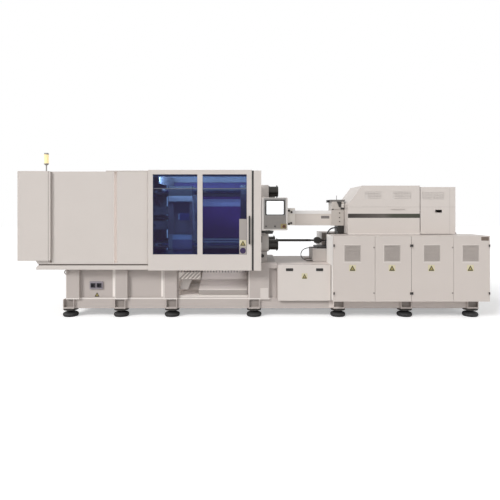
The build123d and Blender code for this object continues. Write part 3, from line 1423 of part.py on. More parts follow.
# Injection cover: a folded hood with a sloped nose and perforated vents on both sides
vent_spans = ((1899, 2192), (2372, 2705))
vent_rows = 5
grip_ledge = (2344, 2575)
grip_ledge_z = 1769
with BuildPart() as injection_cover:
    with BuildSketch(Plane.XZ.offset(-cover_half_width)):
        with BuildLine():
            Polyline(
                (injection_cover_left, injection_cover_bottom),
                (injection_cover_left, injection_cover_slope_z),
                (injection_cover_slope_x, injection_cover_top),
                (injection_cover_right, injection_cover_top),
                (injection_cover_right, injection_cover_bottom),
                close=True,
            )
        make_face()
    extrude(amount=2 * cover_half_width)
    slope_run = injection_cover_slope_x - injection_cover_left
    slope_rise = injection_cover_top - injection_cover_slope_z
    slope_angle = atan2(slope_rise, slope_run)
    with BuildSketch(Plane.XZ.offset(-cover_half_width + thin_wall)):
        with BuildLine():
            inner_left = injection_cover_left + thin_wall
            inner_top = injection_cover_top - thin_wall
            knee_drop = thin_wall * (1 - cos(slope_angle)) / sin(slope_angle)
            nose_shift = thin_wall * (1 / sin(slope_angle) - 1 / sin(slope_angle) * cos(slope_angle))
            Polyline(
                (inner_left, injection_cover_bottom - 10),
                (inner_left, injection_cover_slope_z - knee_drop * 0.5),
                (injection_cover_slope_x + nose_shift, inner_top),
                (injection_cover_right + 10, inner_top),
                (injection_cover_right + 10, injection_cover_bottom - 10),
                close=True,
            )
        make_face()
    extrude(amount=2 * (cover_half_width - thin_wall), mode=Mode.SUBTRACT)
    with BuildSketch(Plane.YZ.offset(injection_cover_left - 5)):
        with Locations((0, axis_z)):
            Circle(barrel_radius + 38)
    extrude(amount=20, mode=Mode.SUBTRACT)
    for vent_left, vent_right in vent_spans:
        vent_columns = int((vent_right - vent_left) / vent_pitch)
        with BuildSketch(Plane.XZ.offset(-cover_half_width - 5)):
            with Locations(((vent_left + vent_right) / 2, vent_top - vent_rows * vent_pitch / 2)):
                with GridLocations(vent_pitch, vent_pitch, vent_columns, vent_rows):
                    Rectangle(2 * vent_hole, 2 * vent_hole)
        extrude(amount=2 * cover_half_width + 10, mode=Mode.SUBTRACT)
    for side_sign in (-1, 1):
        with Locations((sum(grip_ledge) / 2, side_sign * (cover_half_width + 6), grip_ledge_z)):
            Box(grip_ledge[1] - grip_ledge[0], 12, 8)
injection_cover.part.label = "injection_cover"
export_step(injection_cover.part, "parts/injection_cover.step")

# Motor cover behind it, with one vent and a recessed grip on each side
motor_vent = (2868, 3259)
motor_grip = (3100, 3214)
motor_grip_zs = (1713, 1760)
motor_cover_x = (motor_cover_left + motor_cover_right) / 2
motor_cover_z = (injection_cover_bottom + motor_cover_top) / 2
with BuildPart() as motor_cover:
    motor_cover_length = motor_cover_right - motor_cover_left
    with Locations((motor_cover_x, 0, motor_cover_z)):
        Box(motor_cover_length, 2 * cover_half_width, motor_cover_top - injection_cover_bottom)
        with Locations((-thin_wall, 0, -thin_wall)):
            Box(
                motor_cover_length,
                2 * (cover_half_width - thin_wall),
                motor_cover_top - injection_cover_bottom,
                mode=Mode.SUBTRACT,
            )
    with BuildSketch(Plane.XZ.offset(-cover_half_width - 5)):
        vent_columns = int((motor_vent[1] - motor_vent[0]) / vent_pitch)
        with Locations((sum(motor_vent) / 2, vent_top - 12 - vent_rows * vent_pitch / 2)):
            with GridLocations(vent_pitch, vent_pitch, vent_columns, vent_rows):
                Rectangle(2 * vent_hole, 2 * vent_hole)
        with Locations((sum(motor_grip) / 2, sum(motor_grip_zs) / 2)):
            Rectangle(motor_grip[1] - motor_grip[0], motor_grip_zs[1] - motor_grip_zs[0])
    extrude(amount=2 * cover_half_width + 10, mode=Mode.SUBTRACT)
motor_cover.part.label = "motor_cover"
export_step(motor_cover.part, "parts/motor_cover.step")

# Pressure plate on the guide bars, with the ball nut's tube behind it
nut_tube_reserve = 120
pressure_plate_height = 340
nut_tube_length = metering_stroke + nut_tube_reserve
with BuildPart() as pressure_plate:
    with Locations((plate_x + plate_thickness_x / 2, 0, axis_z)):
        Box(plate_thickness_x, 2 * (guide_bar_y + guide_bar_radius + 35), pressure_plate_height)
    with BuildSketch(Plane.YZ.offset(plate_x + plate_thickness_x)):
        with Locations((0, axis_z)):
            Circle(drive_screw_radius + 30)
    extrude(amount=nut_tube_length)
    with BuildSketch(Plane.YZ.offset(plate_x)):
        with Locations((-guide_bar_y, axis_z), (guide_bar_y, axis_z)):
            Circle(guide_bar_radius + running_gap)
    extrude(amount=plate_thickness_x, mode=Mode.SUBTRACT)
    with BuildSketch(Plane.YZ.offset(plate_x)):
        with Locations((0, axis_z)):
            Circle(screw_radius)
    extrude(amount=plate_thickness_x - 20, mode=Mode.SUBTRACT)
    with BuildSketch(Plane.YZ.offset(plate_x + plate_thickness_x + 20)):
        with Locations((0, axis_z)):
            Circle(drive_screw_radius + running_gap)
    extrude(amount=nut_tube_length, mode=Mode.SUBTRACT)
pressure_plate.part.label = "pressure_plate"
export_step(pressure_plate.part, "parts/pressure_plate.step")

# Injection ball screw with its motor coupling
with BuildPart() as injection_screw:
    with BuildSketch(Plane.YZ.offset(drive_screw_left)):
        with Locations((0, axis_z)):
            Circle(drive_screw_radius)
    extrude(amount=motor_left_x - seat_gap - drive_screw_left)
    with BuildSketch(Plane.YZ.offset(motor_left_x - seat_gap)):
        with Locations((0, axis_z)):
            Circle(drive_screw_radius + 27)
    extrude(amount=-80)
injection_screw.part.label = "injection_screw"
export_step(injection_screw.part, "parts/injection_screw.step")


def hose_path(points):
    """Straight runs joined by arcs as large as each pair of runs allows."""
    radii = []
    for before, corner, after in zip(points, points[1:], points[2:]):
        first = Vector(*corner) - Vector(*before)
        second = Vector(*after) - Vector(*corner)
        turn = radians(first.get_angle(second))
        shorter = min(first.length, second.length)
        radii.append(0.45 * shorter * cos(turn / 2) / sin(turn / 2))
    print("hose radii", [round(r, 1) for r in radii])
    return FilletPolyline(*points, radius=radii)


# Black conduit from the throat's heater box down to the pedestal
conduit_radius = 12
conduit_y = -136
heater_box_left = feed_x + 5
conduit_points = [
    (heater_box_left, conduit_y, 1446),
    (1416, conduit_y, 1446),
    (1354, conduit_y, 1410),
    (1318, conduit_y, 1348),
    (1318, conduit_y, 1276),
    (1282, conduit_y, 1214),
    (1282, conduit_y, carriage_top + pedestal_plate_thickness),
]
with BuildPart() as throat_conduit:
    with BuildLine():
        hose_path(conduit_points)
    conduit_start = Vector(*conduit_points[1]) - Vector(*conduit_points[0])
    with BuildSketch(Plane(origin=conduit_points[0], z_dir=conduit_start)):
        Circle(conduit_radius)
    sweep()
throat_conduit.part.label = "throat_conduit"
export_step(throat_conduit.part, "parts/throat_conduit.step")

# Thin hose from the pedestal's plate, in a bow over the bed, back to the slide's foot
hose_radius = 7
hose_end_y = -carriage_half_width + 13
hose_points = [
    (pedestal_plate_left, -184, 1098),
    (1000, -184, 1098),
    (921, -190, 1084),
    (868, -198, 1051),
    (842, -206, 1002),
    (844, -214, 952),
    (870, -222, 909),
    (914, -228, 886),
    (962, hose_end_y, 873),
    (carriage_left, hose_end_y, 873),
]
with BuildPart() as bed_hose:
    with BuildLine():
        hose_path(hose_points)
    hose_start = Vector(*hose_points[1]) - Vector(*hose_points[0])
    with BuildSketch(Plane(origin=hose_points[0], z_dir=hose_start)):
        Circle(hose_radius)
    sweep()
bed_hose.part.label = "bed_hose"
export_step(bed_hose.part, "parts/bed_hose.step")

# Front electrical cabinet: a sheet case in two bays, open to its doors
case_face_y = guard_half_width - cabinet_door_depth - seat_gap
bay_spans = (
    (cabinet_left + cabinet_wall, door_seams[1] - cabinet_wall / 2),
    (door_seams[1] + cabinet_wall / 2, cabinet_right_x - cabinet_wall),
)
case_depth = case_face_y - cabinet_inner_y
with BuildPart() as cabinet_front:
    case_x = (cabinet_left + cabinet_right_x) / 2
    case_z = (beam_top + cabinet_top) / 2
    with Locations((case_x, -(case_face_y + cabinet_inner_y) / 2, case_z)):
        Box(cabinet_right_x - cabinet_left, case_depth, cabinet_top - beam_top)
    for bay_left, bay_right in bay_spans:
        bay_y = -(case_face_y + cabinet_inner_y) / 2 - cabinet_wall
        with Locations(((bay_left + bay_right) / 2, bay_y, case_z)):
            Box(
                bay_right - bay_left,
                case_depth,
                cabinet_top - beam_top - 2 * cabinet_wall,
                mode=Mode.SUBTRACT,
            )
cabinet_front.part.label = "cabinet_front"
export_step(cabinet_front.part, "parts/cabinet_front.step")

# Rear electrical cabinet: closed, screwed panels with seams at the same places
with BuildPart() as cabinet_rear:
    with Locations((case_x, (guard_half_width + cabinet_inner_y) / 2, case_z)):
        Box(
            cabinet_right_x - cabinet_left,
            guard_half_width - cabinet_inner_y,
            cabinet_top - beam_top,
        )
    with Locations([(seam, guard_half_width, case_z) for seam in door_seams]):
        Box(door_seam_gap, 12, cabinet_top - beam_top + 2, mode=Mode.SUBTRACT)
cabinet_rear.part.label = "cabinet_rear"
export_step(cabinet_rear.part, "parts/cabinet_rear.step")

# Cabinet doors: sheet leaves with hinge barrels and filter grilles, turn locks where two leaves meet
leaf_edges = (cabinet_left, *door_seams, cabinet_right_x)
hinge_axis_y = -guard_half_width - hinge_radius + 3
leaf_back_chamfer = 8
grille_rim = 4
grille_depth = 12
lock_zs = (427, 1156)
lock_radius = 13
for leaf in range(4):
    leaf_left = leaf_edges[leaf] + (door_seam_gap / 2 if leaf else 0)
    leaf_right = leaf_edges[leaf + 1] - (door_seam_gap / 2 if leaf < 3 else 0)
    hinged_left = leaf % 2 == 0
    hinge_x = leaf_left + hinge_radius if hinged_left else leaf_right - hinge_radius
    lock_x = leaf_right - lock_radius - 3
    with BuildPart() as cabinet_door:
        with Locations(((leaf_left + leaf_right) / 2, -guard_half_width + cabinet_door_depth / 2, case_z)):
            Box(leaf_right - leaf_left, cabinet_door_depth, cabinet_top - beam_top)
        hinge_side = 0 if hinged_left else -1
        back_edges = cabinet_door.edges().filter_by(Axis.Z).group_by(Axis.Y)[-1]
        chamfer(back_edges.sort_by(Axis.X)[hinge_side], leaf_back_chamfer)
        grille_x = grille_centres[leaf]
        with BuildSketch(Plane.XZ.offset(guard_half_width)):
            with Locations((grille_x, grille_z)):
                Rectangle(grille_size, grille_size)
        extrude(amount=grille_rim)
        grille_hole = grille_size - 4 * grille_rim
        with Locations((grille_x, -guard_half_width + (grille_depth - grille_rim) / 2, grille_z)):
            Box(grille_hole, grille_depth + grille_rim, grille_hole, mode=Mode.SUBTRACT)
        louvre_pitch = grille_hole / louvre_count
        with BuildSketch(Plane.YZ.offset(grille_x - grille_hole / 2)):
            for louvre in range(louvre_count):
                louvre_z = grille_z - grille_hole / 2 + louvre * louvre_pitch
                with BuildLine():
                    Polyline(
                        (-guard_half_width - 1, louvre_z + 0.05 * louvre_pitch),
                        (-guard_half_width - 1, louvre_z + 0.35 * louvre_pitch),
                        (-guard_half_width + grille_depth, louvre_z + 0.85 * louvre_pitch),
                        (-guard_half_width + grille_depth, louvre_z + 0.55 * louvre_pitch),
                        close=True,
                    )
                make_face()
        extrude(amount=grille_hole)
        with Locations([(hinge_x, hinge_axis_y, z) for z in hinge_zs]):
            Cylinder(hinge_radius, hinge_length)
        if hinged_left:
            with BuildSketch(Plane.XZ.offset(guard_half_width)):
                with Locations([(lock_x, z) for z in lock_zs]):
                    Circle(lock_radius)
            extrude(amount=4)
    cabinet_door.part.label = f"cabinet_door_{leaf + 1}"
    export_step(cabinet_door.part, f"parts/cabinet_door_{leaf + 1}.step")
    print("door", leaf + 1, "hinge", hinge_x, hinge_axis_y)
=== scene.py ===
import math

import bmesh
import bpy
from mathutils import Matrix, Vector


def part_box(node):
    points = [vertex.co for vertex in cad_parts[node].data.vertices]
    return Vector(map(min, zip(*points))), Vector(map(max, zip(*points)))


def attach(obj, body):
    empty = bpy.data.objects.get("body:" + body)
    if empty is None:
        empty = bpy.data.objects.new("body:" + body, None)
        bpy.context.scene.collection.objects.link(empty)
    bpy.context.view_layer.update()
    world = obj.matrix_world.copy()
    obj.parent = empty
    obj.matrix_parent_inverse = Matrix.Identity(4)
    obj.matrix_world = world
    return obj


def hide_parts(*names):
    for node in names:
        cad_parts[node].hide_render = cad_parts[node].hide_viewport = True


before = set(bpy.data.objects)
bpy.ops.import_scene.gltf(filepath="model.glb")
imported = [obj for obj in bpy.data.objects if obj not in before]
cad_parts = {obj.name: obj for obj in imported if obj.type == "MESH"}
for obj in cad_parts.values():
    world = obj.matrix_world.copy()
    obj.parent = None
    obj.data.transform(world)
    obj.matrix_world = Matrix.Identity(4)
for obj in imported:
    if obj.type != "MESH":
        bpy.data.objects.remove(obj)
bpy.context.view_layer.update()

# ---------------------------------------------------------------------------
# Camera and studio
# Square-on view from the operator's side, 7 m in front of the doors, at eye height. A
# pale floor, a white sweep, a broad soft sun from the upper left and a weak one from the
# right. Four soft panels light the mould space, its roof and the drop.
# ---------------------------------------------------------------------------
scene = bpy.context.scene


def placed(name, data):
    """A new object in the scene."""
    made = bpy.data.objects.new(name, data)
    scene.collection.objects.link(made)
    return made


eye = bpy.data.cameras.new("eye")
eye.lens = 31.5
eye.sensor_width = 36
eye.shift_y = -0.078
eye.clip_end = 200
eye_object = placed("eye", eye)
eye_object.location = (-0.05, -7.88, 1.74)
eye_object.rotation_euler = (math.radians(90), 0, 0)
scene.camera = eye_object
scene.view_settings.view_transform = "Standard"


def wire(tree, node, sockets):
    """Gives a node's sockets another node's output or a value of their own."""
    for socket, value in sockets.items():
        if isinstance(value, bpy.types.NodeSocket):
            tree.links.new(value, node.inputs[socket])
        else:
            node.inputs[socket].default_value = value


def added(tree, kind, sockets, **settings):
    """A new node in a tree, with its settings and its sockets."""
    node = tree.nodes.new(kind)
    for setting, value in settings.items():
        setattr(node, setting, value)
    wire(tree, node, sockets)
    return node


def reckoned(tree, operation, *values):
    """The result of a maths node."""
    return added(tree, "ShaderNodeMath", dict(enumerate(values)), operation=operation).outputs[0]


sky = bpy.data.worlds.new("studio_white")
scene.world = sky
sky.use_nodes = True
sky_tree = sky.node_tree
sky_tree.nodes.clear()
sky_rays = added(sky_tree, "ShaderNodeLightPath", {}).outputs
sky_either = reckoned(sky_tree, "MAXIMUM", sky_rays["Is Camera Ray"], sky_rays["Is Glossy Ray"])
sky_direct = reckoned(sky_tree, "MAXIMUM", sky_either, sky_rays["Is Transmission Ray"])
sky_light = added(sky_tree, "ShaderNodeBackground", {"Color": (1, 1, 1, 1), "Strength": 0.42})
sky_seen = added(sky_tree, "ShaderNodeBackground", {"Color": (1, 1, 1, 1)})
sky_mix = added(
    sky_tree,
    "ShaderNodeMixShader",
    {0: sky_direct, 1: sky_light.outputs[0], 2: sky_seen.outputs[0]},
)
added(sky_tree, "ShaderNodeOutputWorld", {"Surface": sky_mix.outputs[0]})

floor_mesh = bpy.data.meshes.new("studio_floor")
floor_mesh.from_pydata(
    [(-30, -14, 0), (30, -14, 0), (30, 40, 0), (-30, 40, 0)],
    [],
    [(0, 1, 2, 3)],
)
studio_floor = placed("studio_floor", floor_mesh)
floor_paper = bpy.data.materials.new("floor_paper")
floor_paper.use_nodes = True
floor_tree = floor_paper.node_tree
floor_tree.nodes.clear()
floor_rays = added(floor_tree, "ShaderNodeLightPath", {}).outputs
floor_scale = reckoned(floor_tree, "MULTIPLY", floor_rays["Is Camera Ray"], 0.38)
floor_glow = added(floor_tree, "ShaderNodeEmission", {"Strength": floor_scale})
floor_matte = added(floor_tree, "ShaderNodeBsdfDiffuse", {"Color": (0.85, 0.85, 0.85, 1)})
floor_sum = added(
    floor_tree, "ShaderNodeAddShader", {0: floor_matte.outputs[0], 1: floor_glow.outputs[0]}
)
added(floor_tree, "ShaderNodeOutputMaterial", {"Surface": floor_sum.outputs[0]})
floor_mesh.materials.append(floor_paper)

for lamp_name, power, spread, toward in (
    ("key_lamp", 2.15, 22, (-0.58, -0.60, 0.55)),
    ("fill_lamp", 0.3, 40, (0.55, -0.75, 0.35)),
):
    sun = bpy.data.lights.new(lamp_name, "SUN")
    sun.energy = power
    sun.angle = math.radians(spread)
    sun_object = placed(lamp_name, sun)
    sun_object.rotation_euler = Vector(toward).to_track_quat("Z", "Y").to_euler()
for lamp_name, place, aim, width, depth, power in (
    ("mould_space_panel", (-0.85, -0.70, 2.30), (0.0, 0.90, -0.40), 1.4, 0.12, 20),
    ("roof_panel", (-0.85, -0.60, 2.20), (0.0, 0.35, 1.00), 1.4, 0.20, 8),
    ("low_panel", (-1.14, -0.74, 1.24), (0.0, 1.00, 0.10), 0.40, 0.34, 0.4),
    ("drop_panel", (-0.65, -0.45, 0.785), (0.0, 0.35, -1.00), 1.05, 0.30, 0.75),
):
    soft_lamp = bpy.data.lights.new(lamp_name, "AREA")
    soft_lamp.shape = "RECTANGLE"
    soft_lamp.size = width
    soft_lamp.size_y = depth
    soft_lamp.energy = power
    soft_object = placed(lamp_name, soft_lamp)
    soft_object.location = place
    soft_object.rotation_euler = Vector(aim).to_track_quat("-Z", "Y").to_euler()
    soft_object.visible_camera = False
    soft_object.visible_glossy = False
    soft_object.visible_transmission = False

# ---------------------------------------------------------------------------
# Conduit and thin hose
# A black corrugated conduit from the heater box down to the pedestal plate, and a thin
# black hose that droops over the bed. Both are held at both ends.
# ---------------------------------------------------------------------------


def node_material(name):
    """A node material: itself, its tree, its shader and the object's own coordinates."""
    material = bpy.data.materials.new(name)
    material.use_nodes = True
    tree = material.node_tree
    place = added(tree, "ShaderNodeTexCoord", {}).outputs["Object"]
    return material, tree, tree.nodes["Principled BSDF"], place


def ramp(tree, source, low_colour, high_colour, low_at=0.0, high_at=1.0):
    """Two colours blended along a texture's value."""
    tone = added(tree, "ShaderNodeValToRGB", {"Fac": source.outputs["Fac"]})
    low, high = tone.color_ramp.elements
    low.position, high.position = low_at, high_at
    low.color, high.color = (*low_colour, 1), (*high_colour, 1)
    return tone.outputs["Color"]


def noise(tree, place, scale, detail=2):
    """A noise texture over some coordinates."""
    return added(tree, "ShaderNodeTexNoise", {"Vector": place, "Scale": scale, "Detail": detail})


def bump(tree, height, strength, distance, over=None):
    """The normal of a surface with relief, over another normal where one is given."""
    sockets = {"Height": height, "Strength": strength, "Distance": distance}
    if over:
        sockets["Normal"] = over
    return added(tree, "ShaderNodeBump", sockets).outputs["Normal"]


def corrugated_rubber(name, pitch, depth):
    """Black rubber with raised rings, a pitch apart."""
    rubber, tree, shader, place = node_material(name)
    speck = noise(tree, place, 60)
    tone = ramp(tree, speck, (0.010, 0.010, 0.011), (0.032, 0.031, 0.031))
    rings = added(
        tree,
        "ShaderNodeTexWave",
        {"Vector": place, "Scale": 1 / pitch / 6, "Distortion": 0},
        wave_type="BANDS",
        bands_direction="DIAGONAL",
    )
    relief = bump(tree, rings.outputs["Fac"], 0.7, depth)
    wire(tree, shader, {"Base Color": tone, "Normal": relief, "Roughness": 0.55})
    return rubber


def held_hose(name, route, radius, rubber):
    """A smooth open spline through the route's own points."""
    line = bpy.data.curves.new(name, "CURVE")
    line.dimensions = "3D"
    line.bevel_depth = radius
    line.bevel_resolution = 5
    line.resolution_u = 14
    line.use_fill_caps = True
    spline = line.splines.new("NURBS")
    spline.points.add(len(route) - 1)
    for point, place in zip(spline.points, route):
        point.co = (*place, 1)
    spline.order_u = 3
    spline.use_endpoint_u = True
    line.materials.append(rubber)
    return placed(name, line)


conduit_route = [
    (1.501, -0.136, 1.446),
    (1.416, -0.136, 1.446),
    (1.354, -0.136, 1.410),
    (1.318, -0.136, 1.348),
    (1.318, -0.136, 1.276),
    (1.282, -0.136, 1.214),
    (1.282, -0.136, 1.116),
]
conduit_rubber = corrugated_rubber("conduit_rubber", pitch=0.007, depth=0.002)
conduit = held_hose("conduit", conduit_route, radius=0.012, rubber=conduit_rubber)
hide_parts("throat_conduit")
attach(conduit, "injection_unit")

hose_route = [
    (1.120, -0.184, 1.098),
    (1.000, -0.184, 1.098),
    (0.921, -0.190, 1.084),
    (0.868, -0.198, 1.051),
    (0.842, -0.206, 1.002),
    (0.844, -0.214, 0.952),
    (0.870, -0.222, 0.909),
    (0.914, -0.228, 0.886),
    (0.962, -0.232, 0.873),
    (1.045, -0.232, 0.873),
]
thin_hose_rubber = corrugated_rubber("thin_hose_rubber", pitch=0.004, depth=0.0004)
thin_hose = held_hose("thin_hose", hose_route, radius=0.007, rubber=thin_hose_rubber)
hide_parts("bed_hose")
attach(thin_hose, "injection_unit")

# ---------------------------------------------------------------------------
# Beds and beams
# Welded steel plate and box sections in a warm grey structure paint, a little darker
# and rougher than the guards. The sheet covers over the injection bed are smoother. The
# bare signs, the covers' grip cups and the plate on one column are thin pieces.
# ---------------------------------------------------------------------------


def sprayed_paint(name, colour, shade, grain, roughness, wear=0.0):
    """Baked enamel on steel: slow changes of tone, fine grain in the gloss, soft edges.

    The shade is the darker tone's share of the colour, the grain a noise scale.
    """
    paint, tree, shader, place = node_material(name)
    cloud = noise(tree, place, 1.3, 4)
    tone = ramp(tree, cloud, [c * shade for c in colour], colour, 0.3, 0.7)
    peel = noise(tree, place, grain).outputs["Fac"]
    limits = {"To Min": roughness - 0.06, "To Max": roughness + 0.08}
    gloss = added(tree, "ShaderNodeMapRange", {"Value": peel, **limits}).outputs["Result"]
    soft_edge = added(tree, "ShaderNodeBevel", {"Radius": 0.003}, samples=4)
    relief = bump(tree, peel, 0.12, 0.0006, soft_edge.outputs["Normal"])
    if wear:
        dust = noise(tree, place, 9, 8)
        spots = ramp(tree, dust, (0, 0, 0), (1, 1, 1), 0.62, 0.8)
        worn = (*[c * (1 - wear) for c in colour], 1)
        soiled = added(tree, "ShaderNodeMixRGB", {"Fac": spots, "Color1": tone, "Color2": worn})
        tone = soiled.outputs["Color"]
    wire(tree, shader, {"Base Color": tone, "Normal": relief, "Roughness": gloss})
    return paint


def coat(material, slot, *nodes):
    """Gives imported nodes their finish."""
    for node in nodes:
        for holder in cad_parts[node].material_slots:
            holder.link = "OBJECT"
            holder.material = material


def patched(paint, low, high, colour):
    """Another tone on one part of a casting or sheet, bounded by a box."""
    tree = paint.node_tree
    shader = tree.nodes["Principled BSDF"]
    before = shader.inputs["Base Color"].links[0].from_socket
    place = added(tree, "ShaderNodeTexCoord", {}).outputs["Object"]
    split = added(tree, "ShaderNodeSeparateXYZ", {0: place})
    near = []
    for axis in range(3):
        middle, reach = (low[axis] + high[axis]) / 2, (high[axis] - low[axis]) / 2
        near.append(reckoned(tree, "COMPARE", split.outputs[axis], middle, reach))
    inside = reckoned(tree, "MULTIPLY", reckoned(tree, "MULTIPLY", near[0], near[1]), near[2])
    tones = {"Fac": inside, "Color1": before, "Color2": (*colour, 1)}
    mix = added(tree, "ShaderNodeMixRGB", tones)
    wire(tree, shader, {"Base Color": mix.outputs["Color"]})


def patched_row(paint, places, low, high, colour):
    """The same tone in a row of boxes, each measured from its own place along X."""
    for x in places:
        patched(paint, (x + low[0], *low[1:]), (x + high[0], *high[1:]), colour)


structure_paint = sprayed_paint("structure_paint", (0.478, 0.425, 0.397), 0.95, 90, 0.5, wear=0.12)
# Painted highlights: the left faces of the bed's walls and two strips are paler where the light
# from the left falls.
wall_painted_light, strip_painted_light, foot_shade = (0.80, 0.75, 0.71), (0.82, 0.77, 0.73), (0.270, 0.235, 0.215)
low, high = (-0.002, -0.702, 0.292), (0.010, -0.640, 0.800)
patched_row(structure_paint, (-3.073, -2.270, -1.465, -0.070), low, high, wall_painted_light)
low, high = (0, -0.702, 0.322), (0.036, -0.560, 0.800)
patched_row(structure_paint, (-2.323, -1.520), low, high, strip_painted_light)
# Painted light: a bright edge on the flange and drop sill, and paler tones that lift the shade
# inside the drop, on the injection bed's top and on the base beam.
bed_painted_light = {
    "flange_edge": ((-3.125, -0.705, 0.2885), (0.300, -0.630, 0.3080), (0.76, 0.71, 0.67)),
    "drop_sill": ((-1.231, -0.645, 0.3080), (-0.089, -0.600, 0.3460), (0.70, 0.65, 0.61)),
    "drop_inside": ((-1.242, -0.600, 0.310), (-0.840, 0.690, 0.790), (0.880, 0.810, 0.760)),
    "bed_top": ((0.380, -0.600, 0.780), (1.300, 0.690, 0.940), (0.650, 0.580, 0.542)),
    "base_beam": ((1.250, -0.720, 0.150), (3.730, -0.560, 0.2880), (0.640, 0.572, 0.535)),
}
for low, high, tone in bed_painted_light.values():
    patched(structure_paint, low, high, tone)
foot_places = (-3.029, -2.186, -1.343, 0.017, 1.409, 2.517, 3.611)
low, high = (-0.078, -0.699, 0.160), (0.078, -0.655, 0.288)
patched_row(structure_paint, foot_places, low, high, foot_shade)
cover_enamel = sprayed_paint("cover_enamel", (0.632, 0.578, 0.540), 0.972, 130, 0.38)
rail_shade, seam_painted_light = (0.26, 0.225, 0.205), (0.960, 0.890, 0.845)
patched(cover_enamel, (-3.50, -0.790, 0.858), (-1.690, -0.780, 0.886), rail_shade)
# Painted light: the grooves at the clamp covers' seams are paled to lift the shade in them.
low, high = (-0.032, -0.808, 0.890), (0.034, -0.600, 2.385)
patched_row(cover_enamel, (-3.270, -2.229), low, high, seam_painted_light)
coat(structure_paint, "bed_paint", "clamp_bed", "injection_bed")
coat(cover_enamel, "bed_paint", "bed_covers")


def from_work(name, work, *finishes):
    """A linked object from a finished working mesh, with its materials."""
    mesh = bpy.data.meshes.new(name)
    work.to_mesh(mesh)
    work.free()
    for finish in finishes:
        mesh.materials.append(finish)
    return placed(name, mesh)


def prism(name, outline, front_y, back_y, bevel, finish):
    """A plate in the X-Z plane with its front to -Y, from an outline in X and Z."""
    work = bmesh.new()
    near = [work.verts.new((x, front_y, z)) for x, z in outline]
    far = [work.verts.new((x, back_y, z)) for x, z in outline]
    work.faces.new(near)
    work.faces.new(list(reversed(far)))
    count = len(outline)
    for i in range(count):
        j = (i + 1) % count
        work.faces.new((near[j], near[i], far[i], far[j]))
    bmesh.ops.recalc_face_normals(work, faces=work.faces)
    if bevel:
        work.edges.ensure_lookup_table()
        rim = [e for e in work.edges if all(abs(v.co.y - front_y) < 1e-7 for v in e.verts)]
        bmesh.ops.bevel(work, geom=rim, offset=bevel, segments=2, affect="EDGES", profile=0.5)
    return from_work(name, work, finish)


def rounded_outline(x0, x1, z0, z1, corner, steps=5):
    """A rectangle's outline with round corners, counter-clockwise from the front."""
    outline = []
    for cx, cz, start in (
        (x1 - corner, z1 - corner, 0),
        (x0 + corner, z1 - corner, 90),
        (x0 + corner, z0 + corner, 180),
        (x1 - corner, z0 + corner, 270),
    ):
        for step in range(steps + 1):
            turn = math.radians(start + 90 * step / steps)
            outline.append((cx + corner * math.cos(turn), cz + corner * math.sin(turn)))
    return outline


def triangle_outline(centre_x, low_z, width, height, corner):
    """An upright triangle with round corners."""
    corners = [
        Vector((centre_x - width / 2, low_z)),
        Vector((centre_x + width / 2, low_z)),
        Vector((centre_x, low_z + height)),
    ]
    outline = []
    for i in range(3):
        here, before, after = corners[i], corners[i - 1], corners[(i + 1) % 3]
        to_before = (before - here).normalized()
        to_after = (after - here).normalized()
        for main, other, shares in (
            (to_before, to_after, (1, 0.6, 0.35)),
            (to_after, to_before, (0.6, 1)),
        ):
            for share in shares:
                point = here + main * corner * share + other * corner * (1 - share) * 0.5
                outline.append(tuple(point))
    return outline


def disc_outline(centre_x, centre_z, radius, steps):
    """A circle's outline, counter-clockwise from the front."""
    turns = [math.radians(360 / steps * step) for step in range(steps)]
    return [
        (centre_x + radius * math.cos(turn), centre_z + radius * math.sin(turn)) for turn in turns
    ]


def joined(name, pieces):
    """Several plates made into one piece that keeps each one's finish."""
    whole = bmesh.new()
    finishes = []
    for piece in pieces:
        mesh = piece.data
        for finish in mesh.materials:
            if finish not in finishes:
                finishes.append(finish)
        start = len(whole.faces)
        whole.from_mesh(mesh)
        whole.faces.ensure_lookup_table()
        for face in whole.faces[start:]:
            face.material_index = finishes.index(mesh.materials[face.material_index])
        bpy.data.objects.remove(piece)
    return from_work(name, whole, *finishes)


def plates(name, parts):
    """Plates joined into one piece; each has an outline, front Y, back Y, bevel and finish."""
    return joined(name, [prism(f"{name}_{part}", *sizes) for part, sizes in parts.items()])


def sheets(name, *rows):
    """Rounded rectangles joined into one piece, each given by one row of sizes."""
    parts = {}
    for part, x0, x1, z0, z1, corner, steps, front_y, back_y, bevel, finish in rows:
        outline = rounded_outline(x0, x1, z0, z1, corner, steps)
        parts[part] = (outline, front_y, back_y, bevel, finish)
    return plates(name, parts)


sign_yellow = sprayed_paint("sign_yellow", (0.34, 0.28, 0.10), 0.85, 160, 0.4)
sign_rim = sprayed_paint("sign_rim", (0.62, 0.56, 0.37), 0.95, 160, 0.4)
sign_black = sprayed_paint("sign_black", (0.085, 0.072, 0.036), 0.7, 160, 0.4)


def plain_sign(name, centre_x, low_z, width, height, face_y, plate=True):
    """A bare triangle with a dark edge and no symbol, on a pale plate where it has one."""
    back_y = face_y + 0.0004
    layers = {}
    if plate:
        outline = rounded_outline(
            centre_x - width * 0.56,
            centre_x + width * 0.56,
            low_z - height * 0.08,
            low_z + height * 1.06,
            0.006,
        )
        layers["plate"] = (outline, face_y - 0.0006, back_y, 0.0002, sign_rim)
    for part, share, finish, rise in (
        ("edge", 1.0, sign_black, 0.0011),
        ("inner", 0.50, sign_yellow, 0.0016),
    ):
        foot_z = low_z + height * (1 - share) * 0.40
        outline = triangle_outline(centre_x, foot_z, width * share, height * share, 0.010 * share)
        layers[part] = (outline, face_y - rise, back_y, 0.0003, finish)
    return plates(name, layers)


